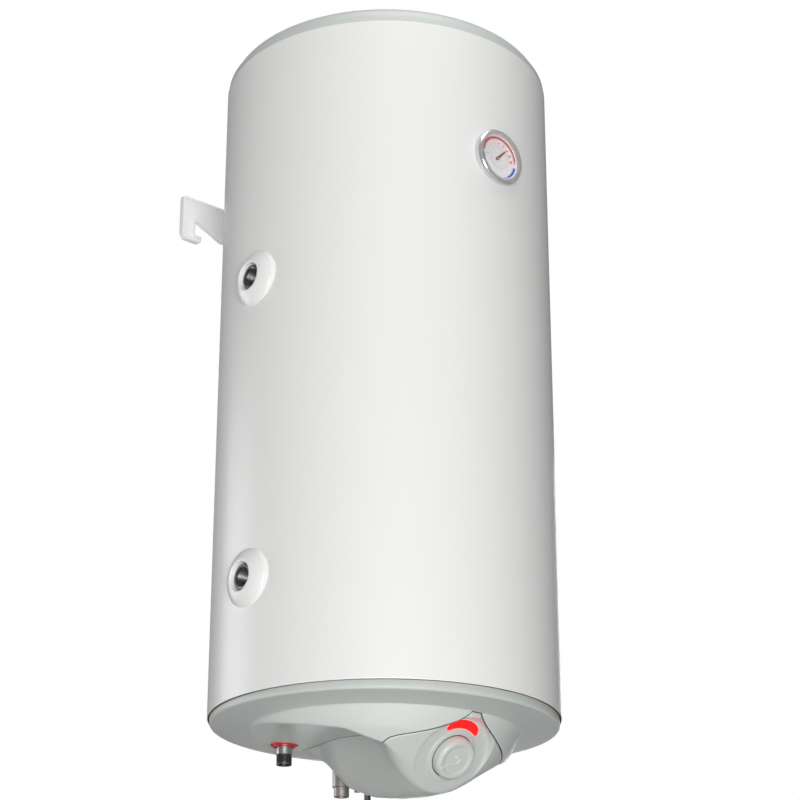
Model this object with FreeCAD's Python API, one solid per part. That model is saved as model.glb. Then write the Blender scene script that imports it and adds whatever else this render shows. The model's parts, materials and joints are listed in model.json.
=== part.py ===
import FreeCAD, Part
import math
import os
from FreeCAD import Vector

# Wall-hung electric storage water heater with a heat-exchanger coil.
# Millimetres. The parts are modelled in the tank frame: the tank's axis is the Z axis, Z = 0 is the
# lower edge of the outer casing, the front faces -Y. On export everything is moved to the row frame,
# whose origin lies on the wall, midway between the two hook seats of the wall strap.

# ---------------------------------------------------------------- driving dimensions
CASING_R = 231.0            # outside radius of the painted casing
CASING_T = 0.8
CASING_H = 918.0
WALL_Y = 255.0              # wall plane, measured from the tank's axis
SEAT_Z = 769.0              # hook seats of the wall strap
TANK_R = 200.0              # enamelled steel tank, outside
TANK_T = 2.5
TANK_LOW = 95.0             # ends of the tank's straight shell
TANK_HIGH = 845.0
HEAD_DEPTH = 50.0           # depth of each dished head
KNUCKLE_R = 30.0
GAP = 0.3                   # assembly gap between plastic covers
LEG_X = 70.0                # plates that carry the tank from the wall strap
LEG_T = 4.0

PIPE_X = 50.0               # half the spacing of the two water pipes
PIPE_Y = 146.0
PIPE_R = 10.65              # G1/2 pipe, 21.3 outside
PIPE_BORE_R = 8.0
THREAD_R = 10.48            # G1/2 thread, major radius

PORT_Z = (150.0, 567.0)     # heat-exchanger ports, lower and upper
SOCKET_R = 16.5
SOCKET_BORE_R = 12.06       # minor radius of a G3/4 thread
SOCKET_FACE_X = -239.0
COIL_R = 125.0
COIL_TUBE_R = 11.0
COIL_BEND_R = 40.0
COIL_TURNS = 9

THERMO_Z = 737.0
THERMO_R = 40.0

RIM_R = 228.0               # grey end caps, just inside the casing's outline
RIM_Z = -9.5                # lower edge of the bottom cap's rim on the axis
RIM_TILT = 0.8              # degrees; the rim is deeper at the front
RING_R = 223.4              # outer edge of the shallow ring under the rim
RING_SLOPE = 0.115          # the ring sinks by this much per millimetre inwards
MOUND_R = 186.0             # cone of the mound under the bottom cap, at its foot
MOUND_Z = -14.0
MOUND_TILT = 2.0
MOUND_SLOPE = 0.9           # radius lost per millimetre of depth
SKIRT_R = 176.0             # steeper skirt round the mound's foot
SKIRT_Z = -18.0
SKIRT_SLOPE = 0.5
SHELL_T = 2.5
# Scoop that clears the mound away behind the tip and round the pipes, from the back: y, z.
SCOOP = [(240, -11.5), (170, -9.5), (148, -12), (95, -16), (40, -21), (9, -26), (-37, -34), (-83, -43),
         (-112, -61)]

KNOB_BASE = Vector(0, -127, -64)
KNOB_TILT = 128.0           # turns +Z onto the knob's axis, 38 degrees below the horizontal
KNOB_R = 28.0
KNOB_H = 12.0
DISH_R = 54.0               # radius of the dished face around the knob
SPINDLE_R = 3.0
RUNNING = 0.05              # radial clearance of a running fit

GLAND = (95.0, 100.0)       # cable gland in the bottom cap: x, y
GLAND_R = 8.0

VALVE_R = 12.5              # safety and non-return valve on the cold pipe
VALVE_Z = -42.0             # height of the relief branch
NOZZLE_R = 4.5
CAVITY_R = 6.0              # bore that holds the relief spring
SPRING_R = 4.7
SPRING_LENGTH = 13.0
SPRING_PITCH = 2.6
SPRING_WIRE = 0.7
PIN_X = PIPE_X + 46.0       # lever pin of the relief valve

FLANGE = Vector(0, -50, 0)  # axis of the service flange
FLANGE_R = 75.0
FLANGE_BOLT_R = 64.0
FLANGE_BOLTS = 6

X = Vector(1, 0, 0)
Y = Vector(0, 1, 0)
Z = Vector(0, 0, 1)
TO_ROW = Vector(0, -WALL_Y, -SEAT_Z)


# ---------------------------------------------------------------- helpers
def cylinder(radius, length, base, axis=Z):
    return Part.makeCylinder(radius, length, Vector(*base), axis)


def tube(outer, inner, length, base, axis=Z):
    return cylinder(outer, length, base, axis).cut(cylinder(inner, length, base, axis))


def block(low, high):
    size = [b - a for a, b in zip(low, high)]
    return Part.makeBox(*size, Vector(*low))


def fuse(shapes):
    first, *rest = shapes
    return first.multiFuse(rest).removeSplitter()


def outline(steps, to_point):
    """Closed wire through 2-D steps; ("arc", middle, end) makes a step round."""
    edges = []
    here = to_point(*steps[0])
    for step in steps[1:] + [steps[0]]:
        if step[0] == "arc":
            there = to_point(*step[2])
            edges.append(Part.Arc(here, to_point(*step[1]), there).toShape())
        else:
            there = to_point(*step)
            if here.distanceToPoint(there) > 1e-6:
                edges.append(Part.LineSegment(here, there).toShape())
        here = there
    return Part.Wire(edges)


def crown(radius, edge_z, top_z):
    """Arc step from a rim to the axis, square to the axis at the top."""
    rise = top_z - edge_z
    sphere = (radius ** 2 + rise ** 2) / (2 * rise)
    middle_z = top_z - sphere + math.sqrt(sphere ** 2 - radius ** 2 / 4)
    return ("arc", (radius / 2, middle_z), (0, top_z))


def turned(steps):
    """Solid of revolution about Z from (radius, z) steps."""
    face = Part.Face(outline(steps, lambda r, z: Vector(r, 0, z)))
    return face.revolve(Vector(), Z, 360)


def placed(shape, origin, axis, angle):
    """Moves a shape made about its own Z axis to an origin, turned about X or Y."""
    moved = shape.copy()
    moved.Placement = FreeCAD.Placement(origin, FreeCAD.Rotation(axis, angle)).multiply(moved.Placement)
    return moved


def on_face(shape):
    """Control-face coordinates: +Z out along the knob's axis, +Y up the slope."""
    return placed(shape, KNOB_BASE, X, KNOB_TILT)


def on_front(shape):
    """Thermometer coordinates: +Z out of the casing's front, +Y up."""
    return placed(shape, Vector(0, -CASING_R, THERMO_Z), X, 90)


def on_side(shape, z):
    """Port coordinates: +Z out of the casing's left side."""
    return placed(shape, Vector(-CASING_R, 0, z), Y, -90)


def save(node, shape):
    moved = shape.copy()
    moved.translate(TO_ROW)
    moved.exportStep("parts/" + node + ".step")


# ---------------------------------------------------------------- tank and what it holds
def dome(grow, up):
    """Dished tank head, a shallow crown with a tight knuckle, as a filled solid."""
    radius, depth, knuckle = TANK_R + grow, HEAD_DEPTH + grow, KNUCKLE_R + grow
    reach = radius - knuckle
    sphere = (reach ** 2 + depth ** 2 - knuckle ** 2) / (2 * (depth - knuckle))
    lean = math.atan2(reach, sphere - depth)

    def on_arc(centre_r, centre_z, arc_radius, angle):
        return centre_r + arc_radius * math.sin(angle), centre_z + arc_radius * math.cos(angle)

    head = turned([
        (0, 0), (radius, 0),
        ("arc", on_arc(reach, 0, knuckle, (lean + math.pi / 2) / 2), on_arc(reach, 0, knuckle, lean)),
        ("arc", on_arc(0, depth - sphere, sphere, lean / 2), (0, depth))])
    if not up:
        head.rotate(Vector(), X, 180)
    head.translate(Z * (TANK_HIGH if up else TANK_LOW))
    return head


def tank_envelope(grow=0.0):
    barrel = cylinder(TANK_R + grow, TANK_HIGH - TANK_LOW, (0, 0, TANK_LOW))
    return fuse([barrel, dome(grow, True), dome(grow, False)])


def pipe_places():
    return [(-PIPE_X, PIPE_Y), (PIPE_X, PIPE_Y)]


def make_tank():
    shell = tube(TANK_R, TANK_R - TANK_T, TANK_HIGH - TANK_LOW, (0, 0, TANK_LOW))
    for z in PORT_Z:
        shell = shell.cut(cylinder(SOCKET_R + 0.05, 30, (-TANK_R + 15, 0, z), -X))
    top = dome(0, True).cut(dome(-TANK_T, True))
    bottom = dome(0, False).cut(dome(-TANK_T, False))
    bottom = bottom.cut(cylinder(56, 80, (FLANGE.x, FLANGE.y, 20)))
    for x, y in pipe_places():
        bottom = bottom.cut(cylinder(PIPE_R + 0.05, 80, (x, y, 20)))
    save("tank_shell", shell)
    save("tank_top_head", top)
    save("tank_bottom_head", bottom)


def flange_bolt_places():
    for index in range(FLANGE_BOLTS):
        angle = math.radians(30 + 360 * index / FLANGE_BOLTS)
        yield FLANGE.x + FLANGE_BOLT_R * math.cos(angle), FLANGE.y + FLANGE_BOLT_R * math.sin(angle)


def flange_tools():
    """Places on the flange plate of the rods that pass through it: x, y, radius."""
    return {
        "anode": (30, -72, 5.0),
        "pocket": (-34, -68, 5.0),
        "element": [(-24, -30), (24, -30), (-12, -44), (12, -44)]}


def make_flange():
    x, y = FLANGE.x, FLANGE.y
    neck = fuse([tube(62, 56, 40, (x, y, 34)), tube(FLANGE_R, 56, 8, (x, y, 34))])
    neck = neck.cut(tank_envelope())
    gasket = tube(56, 48, 3, (x, y, 31))
    plate = cylinder(FLANGE_R, 6, (x, y, 25))
    tools = flange_tools()
    for px, py, radius in (tools["anode"], tools["pocket"]):
        plate = plate.cut(cylinder(radius + 0.05, 20, (px, py, 20)))
    for px, py in tools["element"]:
        plate = plate.cut(cylinder(4.3, 20, (px, py, 20)))
    bolts = []
    for px, py in flange_bolt_places():
        neck = neck.cut(cylinder(4.1, 12, (px, py, 32)))
        plate = plate.cut(cylinder(4.4, 12, (px, py, 22)))
        head = Part.makeCylinder(7.5, 5, Vector(px, py, 20))
        bolts.append(head.fuse(cylinder(4.0, 24, (px, py, 20))))
    save("tank_neck_ring", neck)
    save("flange_gasket", gasket)
    save("flange_plate", plate)
    save("flange_bolts", Part.makeCompound(bolts))


def bent_rod(radius, legs, low, high):
    """Two upright legs joined by a half-round bend at the top."""
    (x1, y1), (x2, y2) = legs
    a, b = Vector(x1, y1, low), Vector(x1, y1, high)
    c, d = Vector(x2, y2, high), Vector(x2, y2, low)
    bend_top = (b + c) * 0.5 + Z * (b.distanceToPoint(c) / 2)
    path = Part.Wire([
        Part.LineSegment(a, b).toShape(),
        Part.Arc(b, bend_top, c).toShape(),
        Part.LineSegment(c, d).toShape()])
    section = Part.Wire([Part.makeCircle(radius, a, Z)])
    return path.makePipeShell([section], True, False)


def make_flange_tools():
    tools = flange_tools()
    legs = tools["element"]
    element = [bent_rod(4.25, legs[0:2], 6, 380), bent_rod(4.25, legs[2:4], 6, 330)]
    save("heating_element", Part.makeCompound(element))
    x, y, radius = tools["anode"]
    save("anode_rod", fuse([cylinder(radius, 40, (x, y, 12)), cylinder(11, 350, (x, y, 50))]))
    x, y, radius = tools["pocket"]
    pocket = cylinder(radius, 330, (x, y, 15)).cut(cylinder(radius - 1, 326, (x, y, 14)))
    save("sensor_pocket", pocket)


def make_coil():
    """Helix whose two ends swing out of the winding to the ports in the left side."""
    bend_x = math.sqrt((COIL_R + COIL_BEND_R) ** 2 - COIL_BEND_R ** 2)
    swing = math.atan2(bend_x, COIL_BEND_R)
    lead = math.pi / 2 - swing
    low, high = PORT_Z
    turns = COIL_TURNS - 2 * lead / (2 * math.pi)
    helix = Part.makeHelix((high - low) / turns, high - low, COIL_R)
    helix.rotate(Vector(), Z, 180 + math.degrees(lead))
    helix.translate(Vector(0, 0, low))

    def bend(z, side):
        centre = Vector(-bend_x, side * COIL_BEND_R, z)
        middle = math.radians(-side * 90) + side * swing / 2
        end = math.radians(-side * 90) + side * swing
        on_arc = [centre + Vector(math.cos(t), math.sin(t), 0) * COIL_BEND_R
                  for t in (math.radians(-side * 90), middle, end)]
        return Part.Arc(*on_arc).toShape()

    socket_end = -(TANK_R - TANK_T) + 7.5
    start = Part.LineSegment(Vector(socket_end, 0, low), Vector(-bend_x, 0, low)).toShape()
    finish = Part.LineSegment(Vector(-bend_x, 0, high), Vector(socket_end, 0, high)).toShape()
    path = Part.Wire(Part.__sortEdges__([start, bend(low, -1)] + helix.Edges + [bend(high, 1), finish]))
    skins = []
    for radius in (COIL_TUBE_R, COIL_TUBE_R - 2.0):
        section = Part.Wire([Part.makeCircle(radius, Vector(socket_end, 0, low), X)])
        skins.append(path.makePipeShell([section], True, True))
    save("heat_exchanger_coil", skins[0].cut(skins[1]))


def make_ports():
    for name, z in zip(("lower", "upper"), PORT_Z):
        length = -SOCKET_FACE_X - (TANK_R - TANK_T) + 7.5
        base = (-(TANK_R - TANK_T) + 7.5, 0, z)
        socket = cylinder(SOCKET_R, length, base, -X)
        socket = socket.cut(cylinder(SOCKET_BORE_R, 24, (SOCKET_FACE_X + 24, 0, z), -X))
        socket = socket.cut(cylinder(COIL_TUBE_R - 2, length, base, -X))
        save(name + "_port_socket", socket)
        rosette = turned([
            (19.0, -12), (21.8, -12), (21.8, -4), (38.5, -4), (38.5, 1.5), (37.2, 3.0),
            ("arc", (30.5, 9.0), (22.5, 13.0)), (20.0, 13.0), (19.0, 12.0)])
        rosette = on_side(rosette, z)
        skin = cylinder(CASING_R, 120, (0, 0, z - 60)).cut(cylinder(21.8, 60, (-CASING_R + 25, 0, z), -X))
        save(name + "_port_rosette", rosette.cut(skin))


def make_pipes():
    for name, (x, y) in zip(("hot_outlet", "cold_inlet"), pipe_places()):
        low = -40.0 if name == "hot_outlet" else -36.0
        pipe = fuse([cylinder(THREAD_R, 14, (x, y, low)), cylinder(PIPE_R, 71 - low, (x, y, low + 14))])
        save(name + "_pipe", pipe.cut(cylinder(PIPE_BORE_R, 200, (x, y, low))))
    hot_x, cold_x = -PIPE_X, PIPE_X
    save("hot_dip_tube", tube(7.9, 6.0, 800, (hot_x, PIPE_Y, 70)))
    diffuser = tube(7.9, 6.0, 40, (cold_x, PIPE_Y, 70)).fuse(cylinder(16, 3, (cold_x, PIPE_Y, 110)))
    for angle in (0, 90):
        slot = block((-12, -2.5, 92), (12, 2.5, 106))
        slot.rotate(Vector(), Z, angle)
        slot.translate(Vector(cold_x, PIPE_Y, 0))
        diffuser = diffuser.cut(slot)
    save("inlet_diffuser", diffuser)


# ---------------------------------------------------------------- casing, insulation and wall strap
def make_casing():
    casing = tube(CASING_R, CASING_R - CASING_T, CASING_H, (0, 0, 0))
    seam = block((-5, CASING_R - 0.6, 0), (5, CASING_R + 1.2, CASING_H))
    casing = fuse([casing, seam])
    for z in PORT_Z:
        casing = casing.cut(cylinder(22.0, 60, (-CASING_R + 30, 0, z), -X))
    casing = casing.cut(cylinder(31.0, 60, (0, -CASING_R + 30, THERMO_Z), -Y))
    for side in (-1, 1):
        x = side * LEG_X
        slot = block((x - LEG_T / 2 - 1, 150, 742), (x + LEG_T / 2 + 1, 260, 798))
        casing = casing.cut(slot)
    save("outer_casing", casing)


def make_insulation():
    radius = CASING_R - CASING_T - GAP
    lid = RIM_R - 2.0
    foam = turned([(0, 12), (radius, 12), (radius, 905), (lid, 905), (lid, 914), (200, 922), (0, 926)])
    foam = foam.cut(tank_envelope(GAP))
    foam = foam.cut(cylinder(FLANGE_R + 10, 90, (FLANGE.x, FLANGE.y, 10)))
    for x, y in pipe_places():
        foam = foam.cut(cylinder(PIPE_R + GAP, 100, (x, y, 0)))
    for z in PORT_Z:
        foam = foam.cut(cylinder(22.5, 60, (-CASING_R + 40, 0, z), -X))
    foam = foam.cut(cylinder(32.0, 60, (0, -CASING_R + 40, THERMO_Z), -Y))
    for side in (-1, 1):
        x = side * LEG_X
        foam = foam.cut(block((x - LEG_T, 150, 740), (x + LEG_T, 260, 800)))
    save("foam_insulation", foam)


def strap_outline(inset=0.0):
    """Front view (x, z) of the strap: a bar with an inward-hooked leg at each end."""
    steps = [
        (180, 800), ("arc", (178.5, 803.5), (175, 805)),
        (-175, 805), ("arc", (-178.5, 803.5), (-180, 800)),
        (-180, 746), ("arc", (-177.1, 738.9), (-170, 736)),
        (-150, 736), ("arc", (-147.5, 737), (-146, 739.5)), (-146, 747), (-157, 747),
        (-157, 766), ("arc", (-156.1, 768.1), (-154, 769)), (-151, 769), (-108, 751),
        (108, 751), (151, 769), (154, 769), ("arc", (156.1, 768.1), (157, 766)),
        (157, 747), (146, 747), (146, 739.5), ("arc", (147.5, 737), (150, 736)),
        (170, 736), ("arc", (177.1, 738.9), (180, 746))]
    face = Part.Face(outline(steps, lambda x, z: Vector(x, 0, z)))
    return face.makeOffset2D(-inset) if inset else face


def make_strap():
    front_y = WALL_Y - 9.0
    skin = 2.5
    outer = strap_outline()
    outer.translate(Y * front_y)
    inner = strap_outline(skin)
    inner.translate(Y * (front_y + skin))
    strap = outer.extrude(Y * 9.0).cut(inner.extrude(Y * 9.0))
    save("wall_strap", strap)
    legs = []
    for side in (-1, 1):
        x = side * LEG_X
        leg = block((x - LEG_T / 2, 150, 746), (x + LEG_T / 2, front_y, 794))
        legs.append(leg.cut(cylinder(TANK_R, 100, (0, 0, 720))))
    save("strap_legs", Part.makeCompound(legs))


# ---------------------------------------------------------------- end caps
def make_top_cap():
    seam = CASING_H
    outer = [
        (0, seam - 12), (229.5, seam - 12), (229.5, seam + 9), (228.5, seam + 10), (226.8, seam + 10.4),
        ("arc", (219, seam + 24.5), (204, seam + 32)), crown(204, seam + 32, seam + 42)]
    inner = [
        (0, seam - 13), (226.5, seam - 13), (226.5, seam + 7.5), (224.2, seam + 9.5),
        ("arc", (217, seam + 22), (203, seam + 29.3)), crown(203, seam + 29.3, seam + 39.5)]
    save("top_cap", turned(outer).cut(turned(inner)))


def mound_level(radius, y):
    """Height of the mound's surface: the cone, or the steeper skirt near its foot."""
    cone = MOUND_Z + math.tan(math.radians(MOUND_TILT)) * y - (MOUND_R - radius) / MOUND_SLOPE
    return max(cone, SKIRT_Z - (SKIRT_R - radius) / SKIRT_SLOPE)


def cone_solid(radius, slope, inset, low, high):
    """Cone whose radius is the given one at Z = 0, drawn in by inset along its normal."""
    foot = radius - inset * (math.hypot(1, slope) - slope)
    return turned([(0, high), (foot + slope * (high - inset), high),
                   (foot + slope * (low - inset), low), (0, low)])


def dish(inset):
    """Rim, shallow ring and mound; the rim and the mound's cone are tilted about X."""
    ring = turned([
        (0, 45), (RIM_R - inset, 45), (RIM_R - 1 - inset, 3.4 + 0.4 * inset),
        ("arc", (RIM_R - 2 - 0.85 * inset, 1.1 + 0.85 * inset), (RING_R - 0.3 * inset, 0.1 + inset)),
        (0, inset - RING_R * RING_SLOPE)])
    ring.rotate(Vector(), X, RIM_TILT)
    ring.translate(Z * RIM_Z)
    tip = 60.0 - inset
    mound = cone_solid(MOUND_R, MOUND_SLOPE, inset, -tip, 10.0)
    mound.rotate(Vector(), X, MOUND_TILT)
    mound.translate(Z * MOUND_Z)
    skirt = cone_solid(SKIRT_R, SKIRT_SLOPE, inset, -100.0, 12.0)
    skirt.translate(Z * SKIRT_Z)
    return ring.fuse(mound.common(skirt))


def scoop_cut(inset):
    """Space under the surface that runs down from the pipes at the back to the mound's tip."""
    curve = Part.BSplineCurve()
    curve.interpolate([Vector(0, y, z + inset) for y, z in SCOOP])
    first, last = curve.StartPoint, curve.EndPoint
    under = [
        curve.toShape(),
        Part.LineSegment(last, Vector(0, -240, last.z)).toShape(),
        Part.LineSegment(Vector(0, -240, last.z), Vector(0, -240, -130)).toShape(),
        Part.LineSegment(Vector(0, -240, -130), Vector(0, 240, -130)).toShape(),
        Part.LineSegment(Vector(0, 240, -130), first).toShape()]
    face = Part.Face(Part.Wire(under))
    face.translate(-X * 260)
    return face.extrude(X * 520)


def cap_form(inset, top):
    below = block((-260, -260, -140), (260, 260, top))
    return dish(inset).cut(scoop_cut(inset)).common(below)


def make_bottom_cap():
    shell = cap_form(0, 1.0).cut(cap_form(SHELL_T, 2.0))
    skirt = tube(229.6, 221.0, 11.8, (0, 0, 0.2))
    cap = fuse([shell, skirt]).cut(cover_hole())
    for x, y in pipe_places():
        cap = cap.cut(cylinder(15.0, 60, (x, y, -50)))
    cap = cap.cut(cylinder(GLAND_R, 60, (*GLAND, -50)))
    save("bottom_cap", cap)


def make_pipe_rosettes():
    for name, (x, y) in zip(("hot", "cold"), pipe_places()):
        flange = cylinder(18.5, 10, (x, y, -15.0)).cut(cap_form(0, 0))
        step = cylinder(15.0, 17, (x, y, -16.5))
        body = fuse([flange, step]).cut(cylinder(PIPE_R + GAP, 40, (x, y, -30)))
        if name == "cold":
            body = body.cut(cylinder(VALVE_R + GAP, 30, (x, y, -30)))
        save(name + "_rosette", body)


def make_gland():
    x, y = GLAND
    nut = Part.Face(Part.makePolygon([
        Vector(x + 12.5 * math.cos(t), y + 12.5 * math.sin(t), -24)
        for t in [math.radians(60 * k) for k in range(7)]])).extrude(Z * 16)
    nut = nut.cut(cap_form(0, 0))
    dome_nut = Part.makeCone(8.0, 10.5, 9, Vector(x, y, -33))
    thread = cylinder(GLAND_R - 0.05, 18, (x, y, -24))
    gland = fuse([nut, dome_nut, thread, cylinder(11.5, 4, (x, y, -10))])
    gland = gland.cut(shell_keep()).cut(cylinder(3.5, 60, (x, y, -40)))
    save("cable_gland", gland)


def shell_keep():
    """The bottom cap's wall around the gland, with the gland's own hole left open."""
    wall = cap_form(0, 0).cut(cap_form(SHELL_T, 1))
    return wall.cut(cylinder(GLAND_R, 60, (*GLAND, -50)))


# ---------------------------------------------------------------- control cover
# Stations from the tail, between the pipes, to the head under the front: y, half width, keel height,
# roundness of the section (1 is a V, 2 and more is a rounded belly).
STATIONS = [
    (164, 3, -10.5, 1.5), (147, 8, -19, 1.4), (115, 18.5, -37, 1.35), (92, 26.5, -58, 1.4),
    (69, 34.5, -76, 1.45), (20, 51, -95, 1.6), (-27, 67, -104, 1.8), (-70, 83, -107.5, 2.0),
    (-96, 94, -106, 2.1), (-113, 99, -91, 2.2), (-125, 91, -79, 2.2), (-138, 76, -67, 2.2),
    (-150, 60, -55.5, 2.2), (-162, 36, -43.5, 2.2), (-169.5, 17, -34.5, 2.2), (-172.5, 6, -29.5, 2.2)]


def seam_level(half_width, y):
    """Height at which the cover's edge meets the bottom cap: on the scoop, or on the mound."""
    if y < SCOOP[-1][0]:
        return mound_level(math.hypot(half_width, y), y)
    heights = sorted(SCOOP)
    for (y1, z1), (y2, z2) in zip(heights, heights[1:]):
        if y1 <= y <= y2:
            return z1 + (z2 - z1) * (y - y1) / (y2 - y1)


def cover_section(y, half_width, keel, roundness, inset, top):
    width = half_width - inset
    seam = seam_level(half_width, y) - 0.5
    bottom = min(keel + inset, seam - 0.8)
    steps = [index / 5 - 1 for index in range(11)]
    belly = Part.BSplineCurve()
    belly.interpolate([
        Vector(width * t, y, bottom + (seam - bottom) * abs(t) ** roundness) for t in steps])
    left, right = belly.StartPoint, belly.EndPoint
    top_left, top_right = Vector(-width, y, top), Vector(width, y, top)
    return Part.Wire([
        belly.toShape(),
        Part.LineSegment(right, top_right).toShape(),
        Part.LineSegment(top_right, top_left).toShape(),
        Part.LineSegment(top_left, left).toShape()])


def cover_form(inset, top=-3.0):
    stations = [s for s in STATIONS if s[1] - inset > 3.2 or not inset]
    return Part.makeLoft([cover_section(*s, inset, top) for s in stations], True, True)


def cover_hole():
    """Hole in the bottom cap that the cover fills, a little wider than the cover all round."""
    walls = []
    for y, half_width, _, _ in STATIONS:
        reach = half_width + GAP
        walls.append(Part.makePolygon([
            Vector(-reach, y, -130), Vector(reach, y, -130), Vector(reach, y, 6), Vector(-reach, y, 6),
            Vector(-reach, y, -130)]))
    return Part.makeLoft(walls, True, True)


def dished_face(grow):
    """Dished recess around the knob: flat floor, flaring walls."""
    return on_face(Part.makeCone(DISH_R + grow, DISH_R + grow + 30, 70, Vector(0, 0, -grow)))


def window_outline(grow, thickness, base):
    """Crescent above the knob, in control-face coordinates."""
    outer = cylinder(42 + grow, thickness, (0, 8, base))
    inner = cylinder(38 - grow, thickness, (0, 0, base))
    wedge = block((-25.5 - grow, 20, base), (25.5 + grow, 60, base + thickness))
    return outer.cut(inner).common(wedge)


COVER_SCREWS = [(0.0, -20.0), (0.0, -72.0)]
SCREW_SEAT_Z = -98.0


def make_cover():
    outer = cover_form(0).cut(dished_face(0))
    inner = cover_form(SHELL_T, 0.0).cut(dished_face(SHELL_T))
    cover = outer.cut(inner)
    plateau = on_face(cylinder(35, 1.5 + SHELL_T, (0, 0, -SHELL_T)))
    slot = block((-6, -80, -115), (6, -12, SCREW_SEAT_Z))
    slot_wall = block((-8.5, -82.5, -104), (8.5, -9.5, SCREW_SEAT_Z + 2.5)).common(cover_form(0))
    cover = fuse([cover, plateau, slot_wall]).cut(slot)
    for x, y in COVER_SCREWS:
        cover = cover.cut(cylinder(2.2, 20, (x, y, SCREW_SEAT_Z - 10)))
    cover = cover.cut(on_face(cylinder(4.5, 20, (0, 0, -10))))
    cover = cover.cut(on_face(window_outline(0, 20, -10)))
    save("control_cover", cover)
    screws = []
    for x, y in COVER_SCREWS:
        head = cylinder(4.0, 3, (x, y, SCREW_SEAT_Z - 3))
        head = head.cut(block((x - 4, y - 0.5, SCREW_SEAT_Z - 3), (x + 4, y + 0.5, SCREW_SEAT_Z - 2)))
        screws.append(head.fuse(cylinder(2.0, 60, (x, y, SCREW_SEAT_Z - 1))))
    save("cover_screws", Part.makeCompound(screws))
    save("indicator_window", on_face(window_outline(0, SHELL_T + 0.4, -SHELL_T)))
    lamp = fuse([cylinder(4, 10, (0, 44, -16)), cylinder(5, 2, (0, 44, -16))])
    save("indicator_lamp", on_face(lamp))


def make_knob():
    base = 1.5 + 0.4
    knob = turned([
        (0, base), (KNOB_R, base), (KNOB_R, base + 8.0), (KNOB_R - 3.0, base + KNOB_H),
        (0, base + KNOB_H)])
    face = base + KNOB_H
    grip = turned([(6, face - 1), (9, face - 1), (8.5, face + 1), (6.5, face + 1)])
    grip = grip.cut(block((-20, -20, 0), (0, 0, 30)))
    ridge = block((-24, -1.2, face - 1), (-6, 1.2, face + 1))
    ridge.rotate(Vector(), Z, 35)
    knob = fuse([knob, grip, ridge]).cut(cylinder(SPINDLE_R, 8, (0, 0, base)))
    save("thermostat_knob", on_face(knob))
    save("thermostat_spindle", on_face(cylinder(SPINDLE_R, base + 8 + 26, (0, 0, -26))))


def make_controls():
    body = block((-27, -17, -44), (27, 17, -10)).cut(cylinder(SPINDLE_R + RUNNING, 20, (0, 0, -26.5)))
    save("thermostat_body", on_face(body))
    bracket = [block((-20, -102, -12), (20, 24, -10))]
    for x, y in [(-18, -12), (18, -12), (0, -96)]:
        bracket.append(cylinder(4, 35.5, (x, y, -10.5)))
    save("control_bracket", fuse(bracket))
    save("thermal_cutout", block((-16, -70, -10), (16, -40, 4)))
    terminal = block((-18, 0, -30), (18, 22, -12)).cut(block((-14, -5, -26), (14, 6, -16)))
    save("terminal_block", terminal)
    x, y = -50, -50
    earth = fuse([cylinder(2.5, 14, (x, y, 11)), cylinder(5.0, 3, (x, y, 16))])
    save("earth_terminal", earth)


# ---------------------------------------------------------------- thermometer
def make_thermometer():
    skin = cylinder(CASING_R, 120, (0, 0, THERMO_Z - 60))
    plug = on_front(cylinder(30.5, 60, (0, 0, -40)))
    case = turned([
        (0, -18), (30.5, -18), (30.5, -4.5), (37.0, -4.5), (37.0, 2.5), (33.0, 2.5), (33.0, -0.5),
        (29.5, -0.5), (29.5, -3.5), (0, -3.5)])
    case = on_front(case.cut(cylinder(1.5, 10, (0, 0, -8)))).cut(skin.cut(plug))
    save("thermometer_case", case)
    bezel = turned([
        (33.2, 3.0), (37.2, 3.0), (37.2, -5.0), (THERMO_R, -5.0), (THERMO_R, 3.0),
        ("arc", (38.6, 7.4), (34.5, 9.0)), (32.5, 9.0), (32.5, 7.4), (33.2, 7.0)])
    save("thermometer_bezel", on_front(bezel).cut(skin))
    save("thermometer_dial", on_front(tube(29.3, 1.5, 0.8, (0, 0, -3.5))))
    save("thermometer_glass", on_front(cylinder(33.0, 1.6, (0, 0, 5.2))))
    pivot = cylinder(1.2, 8.6, (0, 0, -6.0))
    save("thermometer_pivot", on_front(pivot))
    blade = Part.Face(outline([(-7, -1.6), (23, -0.5), (23, 0.5), (-7, 1.6)], lambda a, b: Vector(a, b, 0)))
    hub = cylinder(3.6, 1.6, (0, 0, 0))
    needle = hub.fuse(blade.extrude(Z * 0.8)).cut(cylinder(1.2 + RUNNING, 4, (0, 0, -1)))
    needle.rotate(Vector(), Z, 45)
    needle.translate(Z * -1.2)
    save("thermometer_needle", on_front(needle))
    reach = CASING_R - TANK_R
    save("thermometer_probe", on_front(cylinder(4, reach - 18 - GAP, (0, 0, GAP - reach))))


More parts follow.
